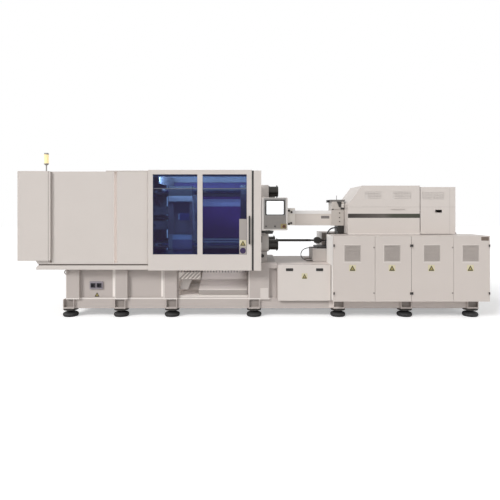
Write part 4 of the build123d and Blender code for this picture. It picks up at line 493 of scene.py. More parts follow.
bed_sign = plain_sign("bed_sign", -2.580, 0.322, 0.088, 0.076, face_y=-0.640, plate=False)
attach(bed_sign, "frame")
cover_sign = plain_sign("bed_cover_sign", 0.842, 0.634, 0.085, 0.082, face_y=-0.725)
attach(cover_sign, "frame")
cup_black = sprayed_paint("cup_black", (0.020, 0.018, 0.017), 0.8, 150, 0.5)
cup_size = (0.759, 0.803, 0.008, 5, -0.7258, -0.7246, 0.0004, cup_black)
grip_cups = sheets(
    "grip_cups", ("left", 0.537, 0.657, *cup_size), ("right", 1.029, 1.147, *cup_size)
)
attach(grip_cups, "frame")
column_outline = rounded_outline(0.119, 0.249, 0.298, 0.476, 0.006)
column_plate = prism("column_plate", column_outline, -0.7030, -0.6996, 0.0008, cover_enamel)
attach(column_plate, "frame")

# ---------------------------------------------------------------------------
# Levelling feet
# Moulded black rubber pads under blackened screws and loose plates.
# ---------------------------------------------------------------------------


def moulded_rubber(name, colour, roughness):
    """Matt black moulded rubber with dust in its grain."""
    rubber, tree, shader, place = node_material(name)
    dust = noise(tree, place, 24, 6)
    tone = ramp(tree, dust, colour, [c * 1.7 for c in colour], 0.35, 0.75)
    relief = bump(tree, dust.outputs["Fac"], 0.2, 0.0008)
    wire(tree, shader, {"Base Color": tone, "Normal": relief, "Roughness": roughness})
    return rubber


def drawn_steel(name, colour, roughness, along, stretch):
    """Bare or plated steel with fine lines along one axis."""
    steel, tree, shader, place = node_material(name)
    scale = [stretch if axis == along else 1 for axis in "XYZ"]
    squeeze = added(tree, "ShaderNodeMapping", {"Vector": place, "Scale": scale})
    lines = noise(tree, squeeze.outputs["Vector"], 160, 3)
    tone = ramp(tree, lines, [c * 0.82 for c in colour], colour)
    low, high = max(roughness - 0.08, 0.03), roughness + 0.1
    gloss = added(
        tree, "ShaderNodeMapRange", {"Value": lines.outputs["Fac"], "To Min": low, "To Max": high}
    )
    soft_edge = added(tree, "ShaderNodeBevel", {"Radius": 0.0015}, samples=4)
    finish = {"Roughness": gloss.outputs["Result"], "Normal": soft_edge.outputs["Normal"]}
    wire(tree, shader, {"Base Color": tone, "Metallic": 1.0, **finish})
    return steel


pad_rubber = moulded_rubber("pad_rubber", (0.018, 0.017, 0.017), 0.7)
oiled_screw = drawn_steel("oiled_screw", (0.075, 0.070, 0.066), 0.42, "Z", 1)
coat(pad_rubber, "pad_rubber", "levelling_pads", "throat_conduit", "bed_hose")
coat(oiled_screw, "bright_steel", "levelling_screws")

# ---------------------------------------------------------------------------
# Product chute and the drop's guard
# A painted sloped sheet that leads moulded parts out to the front, a ribbed panel with
# a slanted gusset at the left of the drop, and short guide pins under the table's edge.
# ---------------------------------------------------------------------------
chute_sheet = sprayed_paint("chute_sheet", (0.74, 0.68, 0.64), 0.93, 60, 0.45)
chute_shade = (0.360, 0.325, 0.302)
patched(chute_sheet, (-0.95, -0.62, 0.300), (-0.05, -0.50, 0.4235), chute_shade)
coat(chute_sheet, "bright_steel", "product_chute")


def on_each(name, places, part, finish, seed, spin=0.0):
    """One mesh with a copy of the part at every place, laid out by a node tree."""
    spots = bpy.data.meshes.new(name + "_spots")
    spots.from_pydata(places, [], [])
    holder = placed(name, spots)
    tree = bpy.data.node_groups.new(name + "_layout", "GeometryNodeTree")
    sockets = tree.interface
    sockets.new_socket("Spots", in_out="INPUT", socket_type="NodeSocketGeometry")
    part_in = sockets.new_socket("Part", in_out="INPUT", socket_type="NodeSocketObject")
    spin_in = sockets.new_socket("Spin", in_out="INPUT", socket_type="NodeSocketFloat")
    finish_in = sockets.new_socket("Finish", in_out="INPUT", socket_type="NodeSocketMaterial")
    sockets.new_socket("Pieces", in_out="OUTPUT", socket_type="NodeSocketGeometry")
    entry = added(tree, "NodeGroupInput", {}).outputs
    source = added(tree, "GeometryNodeObjectInfo", {"Object": entry["Part"]})
    chance = added(tree, "FunctionNodeRandomValue", {"Seed": seed}, data_type="FLOAT")
    amount = reckoned(tree, "MULTIPLY", chance.outputs[1], entry["Spin"])
    turn = added(tree, "ShaderNodeCombineXYZ", {"Y": amount})
    laid = {"Points": entry["Spots"], "Instance": source.outputs["Geometry"]}
    place = added(tree, "GeometryNodeInstanceOnPoints", {**laid, "Rotation": turn.outputs[0]})
    real = added(tree, "GeometryNodeRealizeInstances", {"Geometry": place.outputs["Instances"]})
    dressed = {"Geometry": real.outputs["Geometry"], "Material": entry["Finish"]}
    dress = added(tree, "GeometryNodeSetMaterial", dressed)
    added(tree, "NodeGroupOutput", {"Pieces": dress.outputs["Geometry"]})
    layout = holder.modifiers.new("layout", "NODES")
    layout.node_group = tree
    layout[part_in.identifier] = part
    layout[spin_in.identifier] = spin
    layout[finish_in.identifier] = finish
    built = holder.evaluated_get(bpy.context.evaluated_depsgraph_get())
    whole = bpy.data.meshes.new_from_object(built)
    whole.name = name
    holder.modifiers.clear()
    holder.data = whole
    bpy.data.objects.remove(part)
    return holder


def clipped(outline, normal, limit):
    """The part of an outline on the low side of a line."""
    kept = []
    for i, here in enumerate(outline):
        there = outline[(i + 1) % len(outline)]
        a = here[0] * normal[0] + here[1] * normal[1] - limit
        b = there[0] * normal[0] + there[1] * normal[1] - limit
        if a <= 0:
            kept.append(here)
        if a * b < 0:
            share = a / (a - b)
            kept.append(tuple(h + (t - h) * share for h, t in zip(here, there)))
    return kept


# The drop panel's paint is paled, painted light that lifts the shadow under the table's edge.
lightened_panel_paint = sprayed_paint("lightened_panel_paint", (0.900, 0.830, 0.780), 0.95, 90, 0.5)
gusset_paint = sprayed_paint("gusset_paint", (0.400, 0.360, 0.335), 0.95, 90, 0.5)
rib_shade = sprayed_paint("rib_shade", (0.480, 0.425, 0.390), 0.9, 90, 0.55)
panel_outline = [(-1.229, 0.610), (-0.866, 0.610), (-0.866, 0.732), (-1.229, 0.732)]
panel_inset = [(x * 0.982 - 0.019, 0.616 + (z - 0.610) * 0.90) for x, z in panel_outline]
drop_layers = {"sheet": (panel_outline, -0.6390, -0.6340, 0, lightened_panel_paint)}
rib_count, rib_pitch, rib_low, rib_high = 8, 0.064, 0.086, 0.118
for step in range(rib_count):
    start = -1.93 + rib_pitch * step
    rib = clipped(clipped(panel_inset, (1, -1), start + rib_high), (-1, 1), -start - rib_low)
    if len(rib) > 2:
        drop_layers[f"rib_{step}"] = (rib, -0.6405, -0.6388, 0, rib_shade)
gusset_outline = [(-1.226, 0.438), (-1.080, 0.438), (-1.010, 0.604), (-1.172, 0.604)]
drop_layers["gusset"] = (gusset_outline, -0.6200, -0.6140, 0.001, gusset_paint)
drop_slats = plates("drop_slats", drop_layers)
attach(drop_slats, "frame")

pin_work = bmesh.new()
bmesh.ops.create_cone(
    pin_work, cap_ends=True, segments=10, radius1=0.0065, radius2=0.0080, depth=0.060
)
guide_pin = from_work("guide_pin", pin_work)
pin_steel = sprayed_paint("pin_steel", (0.26, 0.235, 0.220), 0.8, 120, 0.5)
pin_count, pin_pitch = 30, 0.048
pin_places = [(-1.222 + pin_pitch * i, -0.690, 0.7600) for i in range(pin_count)]
guide_pins = on_each("guide_pins", pin_places, guide_pin, pin_steel, seed=3)
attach(guide_pins, "frame")

# ---------------------------------------------------------------------------
# Platens, tie bars and their nuts
# Nodular iron castings in the machine's light paint with painted shade on parts of the
# platens, chrome-plated tie bars, blackened steel nuts and touch bar, pale bars painted
# as highlights on the moving platen's ledges, and its terminal box.
# ---------------------------------------------------------------------------
casting_paint = sprayed_paint("casting_paint", (0.575, 0.530, 0.498), 0.93, 60, 0.46, wear=0.1)
tie_chrome = drawn_steel("tie_chrome", (0.42, 0.42, 0.42), 0.16, "X", 0.02)
blackened_steel = drawn_steel("blackened_steel", (0.060, 0.056, 0.053), 0.36, "X", 1)
# Painted shade: the fixed platen's slot and side and the moving platen's top, middle and lower
# parts are darkened, the lower part tinted violet. The pedestal plate's edge is drawn near black.
casting_tones = {
    "pedestal_edge": ((1.118, -0.227, 1.0835), (1.332, 0.227, 1.1165), (0.022, 0.020, 0.019)),
    "fixed_slot": ((0.120, -0.563, 1.214), (0.154, -0.540, 1.318), (0.060, 0.050, 0.045)),
    "moving_top": ((-1.420, -0.562, 1.994), (-1.016, -0.450, 2.182), (0.070, 0.065, 0.060)),
    "moving_middle": ((-1.420, -0.562, 1.350), (-1.010, -0.450, 1.890), (0.330, 0.250, 0.235)),
    "moving_low": ((-1.350, -0.562, 1.020), (-1.010, -0.450, 1.2610), (0.320, 0.250, 0.360)),
    "fixed_side": ((-0.212, -0.562, 1.500), (-0.095, -0.450, 2.182), (0.130, 0.120, 0.112)),
}
for low, high, tone in casting_tones.values():
    patched(casting_paint, low, high, tone)
coat(casting_paint, "platen_paint", "stationary_platen", "moving_platen", "tail_platen")
coat(casting_paint, "platen_paint", "injection_carriage", "pressure_plate")
coat(tie_chrome, "hard_chrome", "tie_bars", "clamp_screw", "injection_screw")
coat(blackened_steel, "black_metal", "tie_bar_nuts", "nozzle_touch_bar", "clamp_motor")


def cap_screw(name, radius, height):
    """The head of a hexagon socket screw, its axis along -Y and its seat at the origin.

    A reach of -1 in the profile stands for the hexagon's wall.
    """
    profile = [
        (0.0, height * 0.45),
        (-1, height * 0.45),
        (-1, height),
        (radius * 0.88, height),
        (radius, height * 0.88),
        (radius, 0.0),
    ]
    sides = 12
    work = bmesh.new()
    rings = []
    for reach, rise in profile:
        ring = []
        for step in range(sides):
            angle = 2 * math.pi * step / sides
            here = reach
            if reach < 0:
                here = radius * 0.5 / math.cos(math.radians((step * 30) % 60 - 30))
            ring.append(work.verts.new((here * math.cos(angle), -rise, here * math.sin(angle))))
        rings.append(ring)
    for lower, upper in zip(rings, rings[1:]):
        for i in range(sides):
            j = (i + 1) % sides
            work.faces.new((lower[i], lower[j], upper[j], upper[i]))
    work.faces.new(list(reversed(rings[-1])))
    bmesh.ops.remove_doubles(work, verts=work.verts, dist=1e-6)
    bmesh.ops.recalc_face_normals(work, faces=work.faces)
    return from_work(name, work)


near_x, far_x, bore, skin = 0.430, 1.040, 0.0150, 0.0215
sleeve_profile = [(near_x, bore), (near_x, skin), (far_x, skin), (far_x, bore)]
sleeve_axis_z = 1.214
sleeve_sides = 32
sleeve_work = bmesh.new()
sleeve_rings = []
for step in range(sleeve_sides):
    angle = 2 * math.pi * step / sleeve_sides
    ring = []
    for x, reach in sleeve_profile:
        spot = (x, reach * math.cos(angle), sleeve_axis_z + reach * math.sin(angle))
        ring.append(sleeve_work.verts.new(spot))
    sleeve_rings.append(ring)
for step, ring in enumerate(sleeve_rings):
    following = sleeve_rings[(step + 1) % sleeve_sides]
    for i in range(4):
        j = (i + 1) % 4
        sleeve_work.faces.new((ring[i], ring[j], following[j], following[i]))
bmesh.ops.recalc_face_normals(sleeve_work, faces=sleeve_work.faces)
touch_bar_sleeve = from_work("touch_bar_sleeve", sleeve_work, blackened_steel)
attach(touch_bar_sleeve, "frame")

platen_head = cap_screw("platen_head", 0.030, 0.030)
platen_spots = [(-0.130, -0.540, 0.960), (0.156, -0.540, 0.990), (0.020, -0.540, 0.960)]
platen_feet_screws = on_each(
    "platen_feet_screws", platen_spots, platen_head, blackened_steel, seed=5, spin=1.0
)
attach(platen_feet_screws, "frame")

platen_face_y = -0.5590
# Painted highlights: pale bars on the moving platen's ledges for the light from above, the lower
# one bluish.
ledge_painted_highlight = sprayed_paint("ledge_painted_highlight", (0.60, 0.62, 0.70), 0.95, 110, 0.4)
ledge_top = [(-1.414, 1.899), (-1.026, 1.899), (-1.026, 1.993), (-1.414, 1.993)]
ledge_low = [(-1.350, 1.262), (-1.026, 1.262), (-1.026, 1.342), (-1.350, 1.342)]
platen_ledges = plates(
    "platen_ledges",
    {
        "top": (ledge_top, -0.5650, platen_face_y, 0.002, cover_enamel),
        "low": (ledge_low, -0.5650, platen_face_y, 0.002, ledge_painted_highlight),
    },
)
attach(platen_ledges, "moving_platen")
box_blue = sprayed_paint("box_blue", (0.17, 0.16, 0.36), 0.9, 110, 0.4)
box_white = sprayed_paint("box_white", (0.92, 0.90, 0.88), 0.95, 110, 0.4)
junction_box = sheets(
    "junction_box",
    ("case", -1.216, -1.062, 1.588, 1.702, 0.006, 5, -0.6050, platen_face_y, 0.003, box_blue),
    ("gland", -1.248, -1.2155, 1.598, 1.692, 0.006, 5, -0.5950, platen_face_y, 0.003, box_white),
)
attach(junction_box, "moving_platen")

# ---------------------------------------------------------------------------
# Toggle, ejector and clamp drive
# Forged links and the crosshead in bare machined steel with an oil film. The ejector's
# rods, the barrel and its screw are brighter.
# ---------------------------------------------------------------------------
link_steel = drawn_steel("link_steel", (0.42, 0.41, 0.40), 0.34, "Z", 0.2)
bright_steel = drawn_steel("bright_steel", (0.66, 0.65, 0.63), 0.26, "X", 0.08)
coat(
    link_steel,
    "link_steel",
    "crosshead",
    "rear_link_upper",
    "rear_link_lower",
    "front_link_upper",
    "front_link_lower",
    "push_link_upper",
    "push_link_lower",
)
coat(bright_steel, "bright_steel", "barrel", "feed_screw", "ejector")

# ---------------------------------------------------------------------------
# Guards, covers and rails
# Folded sheet steel in warm white enamel: the clamp's covers, the end cover, the
# frame with its roof, the rails and the fixed panels beside the doors.
# ---------------------------------------------------------------------------
coat(
    cover_enamel,
    "cover_paint",
    "guard_frame",
    "clamp_cover_front",
    "clamp_cover_middle",
    "clamp_cover_rear",
    "end_cover",
    "lower_rails",
    "fixed_panels",
)

# ---------------------------------------------------------------------------
# Doors
# Welded frames in the same enamel. The front door has two panes of violet-tinted
# polycarbonate, a bare label, a black plastic handle and rubber seals. Inside the rear
# door, violet and black sheets are painted shade and pale violet rails painted light.
# The bed's socket unit is plastic too.
# ---------------------------------------------------------------------------
coat(cover_enamel, "cover_paint", "front_door", "rear_door")


def tinted_pane(name, tint, haze, amount):
    """Tinted polycarbonate: clear through the tint, with a violet body colour and a gloss."""
    pane, tree, shader, place = node_material(name)
    tree.nodes.remove(shader)
    cloud = noise(tree, place, 1.6)
    tone = ramp(tree, cloud, [c * 0.85 for c in tint], tint)
    clear = added(tree, "ShaderNodeBsdfTransparent", {"Color": tone}).outputs[0]
    body = added(tree, "ShaderNodeBsdfDiffuse", {"Color": (*haze, 1)}).outputs[0]
    gloss = added(tree, "ShaderNodeBsdfGlossy", {"Roughness": 0.03}).outputs[0]
    facing = added(tree, "ShaderNodeFresnel", {"IOR": 1.32}).outputs[0]
    blend = added(tree, "ShaderNodeMixShader", {0: amount, 1: clear, 2: body}).outputs[0]
    top = added(tree, "ShaderNodeMixShader", {0: facing, 1: blend, 2: gloss}).outputs[0]
    wire(tree, tree.nodes["Material Output"], {"Surface": top})
    return pane


violet_pane = tinted_pane("violet_pane", (0.340, 0.470, 0.675), (0.30, 0.05, 0.70), 0.02)
coat(violet_pane, "tinted_pane", "front_door_glass")


def moulded_plastic(name, colour, roughness):
    """Textured injection-moulded plastic."""
    plastic, tree, shader, place = node_material(name)
    texture = noise(tree, place, 220)
    tone = ramp(tree, texture, [c * 0.88 for c in colour], colour)
    relief = bump(tree, texture.outputs["Fac"], 0.15, 0.0003)
    wire(tree, shader, {"Base Color": tone, "Normal": relief, "Roughness": roughness})
    return plastic


black_plastic = moulded_plastic("black_plastic", (0.020, 0.019, 0.018), 0.4)
seal_rubber = moulded_rubber("seal_rubber", (0.014, 0.013, 0.013), 0.6)
socket_grey = moulded_plastic("socket_grey", (0.300, 0.270, 0.300), 0.4)
socket_black = (0.022, 0.018, 0.026)
low, high = (-0.038, -0.70, 0.478), (0.038, -0.60, 0.552)
patched_row(socket_grey, (-2.6370, -2.5360), low, high, socket_black)
coat(socket_grey, "black_plastic", "socket_unit")
coat(black_plastic, "black_plastic", "front_door_handle", "hmi_arm", "hopper_shutter")
coat(seal_rubber, "pad_rubber", "door_seals")

label_grey = sprayed_paint("label_grey", (0.37, 0.335, 0.310), 0.93, 150, 0.4)
label_blue = sprayed_paint("label_blue", (0.032, 0.016, 0.070), 0.9, 150, 0.4)
strip_grey = sprayed_paint("strip_grey", (0.110, 0.118, 0.150), 0.9, 150, 0.4)
plate_front_y, plate_back_y = -0.8692, -0.8681
plate_outline = rounded_outline(-0.222, -0.106, 1.048, 1.612, 0.004)
pane_plate = prism("pane_plate", plate_outline, plate_front_y, plate_back_y, 0.0003, label_grey)
disc_ring = disc_outline(-0.164, 1.104, radius=0.048, steps=24)
pane_disc = prism("pane_disc", disc_ring, -0.8696, -0.8690, 0, label_blue)
pane_sign = plain_sign("pane_sign", -0.164, 1.182, 0.096, 0.086, face_y=plate_front_y)
strip_size = (2.0930, 2.1060, 0.002, 1, -0.8690, -0.8676, 0, strip_grey)
pane_strips = sheets(
    "pane_strips", ("left", -1.602, -0.902, *strip_size), ("right", -0.805, -0.106, *strip_size)
)
window_label = joined("window_label", [pane_plate, pane_disc, pane_sign, pane_strips])
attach(window_label, "front_door")

# Painted shade inside the rear door: a violet sheet for the shaded interior and a black strip
# along its foot, with pale violet rails painted as the light on them.
door_inner_y = 0.822
shade_sheet_y = (door_inner_y - 0.0025, door_inner_y + 0.001)
rail_y = (door_inner_y - 0.0055, door_inner_y - 0.002)
violet_painted_shade = sprayed_paint("violet_painted_shade", (0.230, 0.080, 0.310), 0.85, 60, 0.45)
rail_painted_light = sprayed_paint("rail_painted_light", (0.70, 0.61, 0.80), 0.9, 60, 0.4)
top_rail_painted_light = sprayed_paint("top_rail_painted_light", (0.38, 0.27, 0.52), 0.9, 60, 0.4)
kick_painted_shade = sprayed_paint("kick_painted_shade", (0.060, 0.056, 0.050), 0.8, 60, 0.5)
rear_lining = sheets(
    "rear_lining",
    ("sheet", -1.640, -0.066, 1.125, 2.330, 0.02, 5, *shade_sheet_y, 0.001, violet_painted_shade),
    ("kick", -1.640, -0.066, 0.880, 1.120, 0.01, 5, *shade_sheet_y, 0.001, kick_painted_shade),
    ("rail", -1.600, -0.106, 1.830, 1.975, 0.01, 5, *rail_y, 0.001, rail_painted_light),
    ("top", -1.600, -0.106, 2.200, 2.318, 0.01, 5, *rail_y, 0.001, top_rail_painted_light),
)
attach(rear_lining, "rear_door")

# ---------------------------------------------------------------------------
# Beacon
# A signal lamp on the end cover: an amber lens that glows between grey caps.
# ---------------------------------------------------------------------------


def glowing_lens(name, colour, glow):
    """Amber ribbed lens lit from inside."""
    lens, tree, shader, place = node_material(name)
    ribs = added(
        tree,
        "ShaderNodeTexWave",
        {"Vector": place, "Scale": 28},
        wave_type="BANDS",
        bands_direction="Z",
    )
    tone = ramp(tree, ribs, [c * 0.75 for c in colour], colour)
    wire(tree, shader, {"Base Color": tone, "Emission Color": tone})
    wire(tree, shader, {"Emission Strength": glow, "Roughness": 0.25})
    return lens


coat(glowing_lens("lens_amber", (1.0, 0.80, 0.42), 0.55), "lens_amber", "beacon_lens")
coat(moulded_plastic("beacon_grey", (0.42, 0.40, 0.38), 0.45), "beacon_grey", "beacon_post")

# ---------------------------------------------------------------------------
# Operator's panel
# A grey metal housing on a swivel arm: a bright screen in a black bezel, a grey keypad
# with rows of keys, two dark buttons and a yellow plate with the dark red stop button.
# ---------------------------------------------------------------------------
panel_metal = sprayed_paint("panel_metal", (0.560, 0.520, 0.490), 0.94, 140, 0.42)
front_grey, plate_yellow = (0.270, 0.262, 0.256), (0.250, 0.195, 0.085)
patched(panel_metal, (0.168, -0.8815, 1.452), (0.529, -0.860, 1.945), front_grey)
coat(panel_metal, "panel_metal", "hmi_case")


def satin_bezel(name):
    """Dark grey satin coating around the display."""
    bezel, tree, shader, place = node_material(name)
    speck = noise(tree, place, 150)
    tone = ramp(tree, speck, (0.235, 0.225, 0.215), (0.285, 0.275, 0.268))
    wire(tree, shader, {"Base Color": tone, "Roughness": 0.35})
    return bezel


coat(satin_bezel("screen_bezel"), "screen", "hmi_screen")


def display_light(name):
    """A white page with faint pale panes, lit from behind."""
    light, tree, shader, place = node_material(name)
    upright = (math.radians(90), 0, 0)
    turned = added(tree, "ShaderNodeMapping", {"Vector": place, "Rotation": upright})
    squares = added(
        tree,
        "ShaderNodeTexBrick",
        {
            "Vector": turned.outputs["Vector"],
            "Scale": 14,
            "Color1": (0.92, 0.95, 0.98, 1),
            "Color2": (0.97, 0.98, 0.99, 1),
            "Mortar": (0.86, 0.90, 0.94, 1),
            "Mortar Size": 0.01,
        },
    )
    page = squares.outputs["Color"]
    wire(tree, shader, {"Base Color": page, "Emission Color": page})
    wire(tree, shader, {"Emission Strength": 0.85, "Roughness": 0.2})
    return light


bezel_black = moulded_plastic("bezel_black", (0.050, 0.045, 0.042), 0.45)
page_light = display_light("display_light")
display = sheets(
    "display",
    ("frame", 0.187, 0.511, 1.673, 1.921, 0.006, 5, -0.8816, -0.8797, 0.0006, bezel_black),
    ("page", 0.2180, 0.4840, 1.6890, 1.8960, 0.003, 5, -0.8824, -0.8812, 0.0002, page_light),
)
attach(display, "hmi")
keypad_plastic = moulded_plastic("keypad_plastic", (0.225, 0.205, 0.190), 0.5)
keypad_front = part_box("hmi_keypad")[0][1]
patched(keypad_plastic, (0.440, -0.95, 1.450), (0.535, -0.80, 1.536), plate_yellow)
coat(keypad_plastic, "keypad", "hmi_keypad")
panel_buttons = plates(
    "panel_buttons",
    {
        side: (
            disc_outline(button_x, 1.496, radius=0.0135, steps=18),
            keypad_front - 0.0030,
            keypad_front + 0.0070,
            0.002,
            bezel_black,
        )
        for side, button_x in (("left", 0.206), ("right", 0.350))
    },
)
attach(panel_buttons, "hmi")
key_outline = rounded_outline(-0.0095, 0.0095, -0.0065, 0.0065, 0.0025, steps=2)
key_part = prism("panel_key", key_outline, -0.0030, 0.0004, 0.0008, keypad_plastic)
key_face_y = keypad_front + 0.008
key_columns = [0.196 + 0.0262 * i for i in range(11)]
key_rows = [1.648 - 0.0205 * j for j in range(6)]
key_places = [(key_x, key_face_y, key_z) for key_x in key_columns for key_z in key_rows]
key_plastic = moulded_plastic("key_plastic", (0.262, 0.242, 0.226), 0.45)
panel_keys = on_each("panel_keys", key_places, key_part, key_plastic, seed=7)
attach(panel_keys, "hmi")
coat(moulded_plastic("stop_red", (0.085, 0.026, 0.016), 0.3), "stop_red", "stop_button")

# ---------------------------------------------------------------------------
# Barrel, its cover and the feed throat
# Enamelled sheet with a bright folded lip, and machined blocks held with black screws.
# A dark funnel, its latch and a pale sleeve are fixed to the throat's front.
# ---------------------------------------------------------------------------
cover_steel = sprayed_paint("cover_steel", (0.640, 0.580, 0.532), 0.95, 110, 0.36)
block_painted_light, lip_light = (0.800, 0.745, 0.680), (0.760, 0.735, 0.715)
# Painted light: the end block is paled to lift the guard's shadow on it.
patched(cover_steel, (0.60, -0.20, 1.480), (0.7445, 0.20, 1.800), block_painted_light)
patched(cover_steel, (0.70, -0.20, 1.690), (1.40, 0.20, 1.760), lip_light)
throat_metal = sprayed_paint("throat_metal", (0.520, 0.475, 0.435), 0.92, 110, 0.4)
hopper_plate_grey, heater_black = (0.150, 0.140, 0.132), (0.022, 0.019, 0.017)
patched(throat_metal, (1.36, -0.20, 1.905), (1.63, 0.20, 1.945), hopper_plate_grey)
patched(throat_metal, (1.49, -0.16, 1.320), (1.61, 0.16, 1.4825), heater_black)
coat(cover_steel, "bright_steel", "barrel_cover")
coat(throat_metal, "bright_steel", "feed_throat")
block_head = cap_screw("block_head", 0.019, 0.018)
screw_seat_y = -0.1700
block_corners = ((0.682, 1.719), (0.636, 1.745), (0.674, 1.528), (0.636, 1.512))
block_spots = [(x, screw_seat_y, z) for x, z in block_corners]
block_screws = on_each("block_screws", block_spots, block_head, blackened_steel, seed=11, spin=1.0)
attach(block_screws, "injection_unit")
throat_head = cap_screw("throat_head", 0.010, 0.010)
throat_spots = [(1.527, screw_seat_y, z) for z in (1.555, 1.625, 1.705)]
throat_screws = on_each(
    "throat_screws", throat_spots, throat_head, blackened_steel, seed=13, spin=1.0
)
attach(throat_screws, "injection_unit")
plate_grey = sprayed_paint("plate_grey", (0.200, 0.178, 0.170), 0.8, 150, 0.4)
funnel_black = moulded_plastic("funnel_black", (0.030, 0.027, 0.025), 0.45)
sleeve_light = sprayed_paint("sleeve_light", (0.66, 0.62, 0.58), 0.9, 110, 0.35)
throat_face_y = -0.1698
funnel_outline = [(1.480, 1.904), (1.558, 1.904), (1.546, 1.812), (1.519, 1.812)]
fittings = {"funnel": (funnel_outline, -0.1900, throat_face_y, 0.002, funnel_black)}
for part, x0, x1, z0, z1, corner, front_y, back_y, bevel, finish in (
    ("pin", 1.472, 1.481, 1.938, 2.012, 0.003, -0.1680, -0.1600, 0.002, plate_grey),
    ("bar", 1.545, 1.604, 1.774, 1.797, 0.004, -0.1860, throat_face_y, 0.002, funnel_black),
    ("sleeve", 1.556, 1.604, 1.800, 1.862, 0.010, -0.1960, throat_face_y, 0.004, sleeve_light),
    ("latch", 1.390, 1.425, 1.762, 1.778, 0.004, -0.1780, throat_face_y, 0.002, funnel_black),
    ("lid", 1.4785, 1.5012, 1.385, 1.458, 0.003, -0.1490, -0.1200, 0.002, funnel_black),
):
    fittings[part] = (rounded_outline(x0, x1, z0, z1, corner), front_y, back_y, bevel, finish)
throat_fittings = plates("throat_fittings", fittings)
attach(throat_fittings, "injection_unit")
barrel_plate_outline = rounded_outline(1.205, 1.352, 1.607, 1.655, 0.004)
barrel_plate = prism("barrel_plate", barrel_plate_outline, -0.1512, -0.1497, 0.0004, plate_grey)
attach(barrel_plate, "injection_unit")

# ---------------------------------------------------------------------------
# Injection and motor covers
# Folded hoods in the warm white enamel, with a plain dark stripe along the front, thin
# lines at the folds, the grip and the motor cover's seam, and a pale strip painted as
# light over the shaded gap under the injection cover.
# ---------------------------------------------------------------------------
coat(cover_enamel, "cover_paint", "injection_cover", "motor_cover")


def fading_stripe(name, low_x, high_x):
    """Dark satin film that fades from brown to grey to green along the cover."""
    film = sprayed_paint(name, (0.095, 0.082, 0.072), 0.9, 140, 0.5)
    tree = film.node_tree
    place = added(tree, "ShaderNodeTexCoord", {}).outputs["Object"]
    split = added(tree, "ShaderNodeSeparateXYZ", {0: place})
    span = {"Value": split.outputs[0], "From Min": low_x, "From Max": high_x}
    along = added(tree, "ShaderNodeMapRange", span)
    fade = added(tree, "ShaderNodeValToRGB", {"Fac": along.outputs["Result"]})
    grey, green = (0.098, 0.085, 0.075, 1), (0.042, 0.043, 0.028, 1)
    fade.color_ramp.elements[0].color = (0.022, 0.016, 0.013, 1)
    fade.color_ramp.elements[1].color = green
    for position, colour in ((0.50, grey), (0.62, green)):
        fade.color_ramp.elements.new(position).color = colour
    wire(tree, tree.nodes["Principled BSDF"], {"Base Color": fade.outputs["Color"]})
    return film


stripe_paint = fading_stripe("stripe_paint", 1.616, 2.836)
fold_shade = sprayed_paint("fold_shade", (0.50, 0.455, 0.425), 0.95, 130, 0.4)
# Painted light: a pale strip over the shaded gap between the injection cover and the cabinet.
gap_painted_light = sprayed_paint("gap_painted_light", (0.860, 0.800, 0.760), 0.97, 130, 0.4)
grip_shade = sprayed_paint("grip_shade", (0.200, 0.172, 0.155), 0.9, 130, 0.45)
fold_y = (-0.4406, -0.4398)
cover_folds = sheets(
    "cover_folds",
    ("injection", 1.640, 2.836, 1.8065, 1.8110, 0.001, 1, *fold_y, 0, fold_shade),
    ("motor", 2.852, 3.441, 1.8065, 1.8110, 0.001, 1, *fold_y, 0, fold_shade),
    ("grip", 2.350, 2.580, 1.7655, 1.7750, 0.002, 2, -0.4408, -0.4398, 0, grip_shade),
    ("hem", 1.620, 2.836, 1.3425, 1.3540, 0.001, 1, -0.4420, -0.4370, 0, gap_painted_light),
    ("seam", 3.3445, 3.3500, 1.356, 2.144, 0.001, 1, *fold_y, 0, fold_shade),
)
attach(cover_folds, "injection_unit")
stripe_outline = rounded_outline(1.616, 2.836, 1.623, 1.694, 0.001, steps=1)
cover_stripe = prism("cover_stripe", stripe_outline, -0.4412, -0.4399, 0.0002, stripe_paint)
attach(cover_stripe, "injection_unit")

# ---------------------------------------------------------------------------
# Electrical cabinets
# Folded sheet cases and four doors in cabinet enamel, with filter grilles. Each door
# has a bare triangular plate under its grille and the last one a bare name plate.
# ---------------------------------------------------------------------------
cabinet_enamel = sprayed_paint("cabinet_enamel", (0.580, 0.522, 0.484), 0.965, 130, 0.4)
case_painted_light, gap_black = (0.86, 0.83, 0.80), (0.060, 0.054, 0.050)
hinge_black = (0.024, 0.021, 0.020)
lock_grey, grille_grey = (0.260, 0.232, 0.215), (0.500, 0.448, 0.415)
grille_places = (1.591, 2.225, 2.861, 3.482)
door_face_y = -0.880
# Painted light: the cabinet's left end wall is paled for the light from the left.
patched(cabinet_enamel, (1.2820, -0.8395, 0.292), (1.2845, 0.8395, 1.338), case_painted_light)
for hinge_z in (0.423, 1.186):
    low, high = (-0.026, -0.905, hinge_z - 0.020), (0.026, -0.8802, hinge_z + 0.020)
    patched_row(cabinet_enamel, (1.294, 2.534, 3.779), low, high, hinge_black)
patched(cabinet_enamel, (2.5290, -0.8797, 0.300), (2.5390, -0.8000, 1.330), gap_black)
low, high = (-0.016, -0.900, 0.300), (0.016, -0.8803, 1.330)
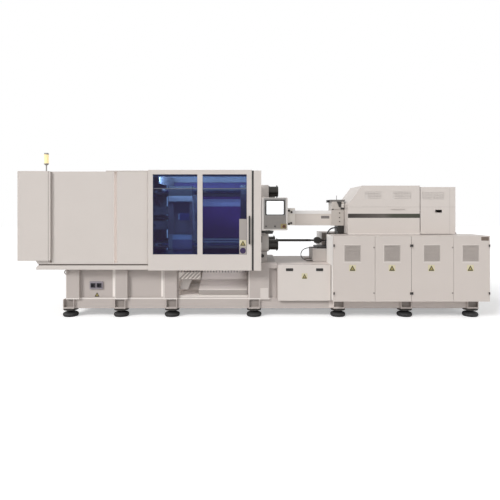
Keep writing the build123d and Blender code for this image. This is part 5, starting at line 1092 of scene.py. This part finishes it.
patched_row(cabinet_enamel, (1.936, 3.193), low, high, lock_grey)
low, high = (-0.130, -0.890, 0.933), (0.130, -0.8803, 1.193)
patched_row(cabinet_enamel, grille_places, low, high, grille_grey)
grille_shade = sprayed_paint("grille_shade", (0.530, 0.474, 0.438), 0.93, 150, 0.45)
coat(cabinet_enamel, "cabinet_paint", "cabinet_front", "cabinet_rear", "cabinet_door_1")
coat(cabinet_enamel, "cabinet_paint", "cabinet_door_2", "cabinet_door_3", "cabinet_door_4")
for leaf, sign_x in enumerate((1.590, 2.222, 2.852, 3.476), 1):
    leaf_sign = plain_sign(f"cabinet_sign_{leaf}", sign_x, 0.782, 0.096, 0.090, face_y=door_face_y)
    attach(leaf_sign, f"cabinet_door_{leaf}")
bar_pitch, bar_count = 0.0077, 31
bar_outline = rounded_outline(-0.0021, 0.0021, -0.1195, 0.1195, 0.0005, steps=1)
# The grille's rim, in the paler cover enamel on its top, left and bottom sides only: a real rim
# with painted highlight where the light falls.
finish = (0.001, 1, -0.8820, -0.8797, 0, cover_enamel)
for leaf, grille_x in enumerate(grille_places, 1):
    left_x, right_x = grille_x - 0.142, grille_x + 0.140
    rim_highlight = sheets(
        f"grille_surround_{leaf}",
        ("top", left_x, right_x, 1.1935, 1.2100, *finish),
        ("left", left_x, grille_x - 0.1305, 0.9050, 1.1930, *finish),
        ("low", grille_x - 0.130, right_x, 0.9050, 0.9325, *finish),
    )
    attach(rim_highlight, f"cabinet_door_{leaf}")
    bar = prism("grille_bar", bar_outline, -0.0010, 0.0010, 0, grille_shade)
    bar_places = [(grille_x - 0.1155 + bar_pitch * i, -0.8823, 1.063) for i in range(bar_count)]
    grille_bars = on_each(f"grille_bars_{leaf}", bar_places, bar, grille_shade, seed=20 + leaf)
    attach(grille_bars, f"cabinet_door_{leaf}")
bare_plate_brown = sprayed_paint("bare_plate_brown", (0.16, 0.12, 0.095), 0.85, 150, 0.35)
bare_plate_outline = rounded_outline(3.650, 3.772, 1.266, 1.326, 0.004)
name_plate = prism("bare_plate", bare_plate_outline, -0.8812, -0.8798, 0.0003, bare_plate_brown)
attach(name_plate, "cabinet_door_4")
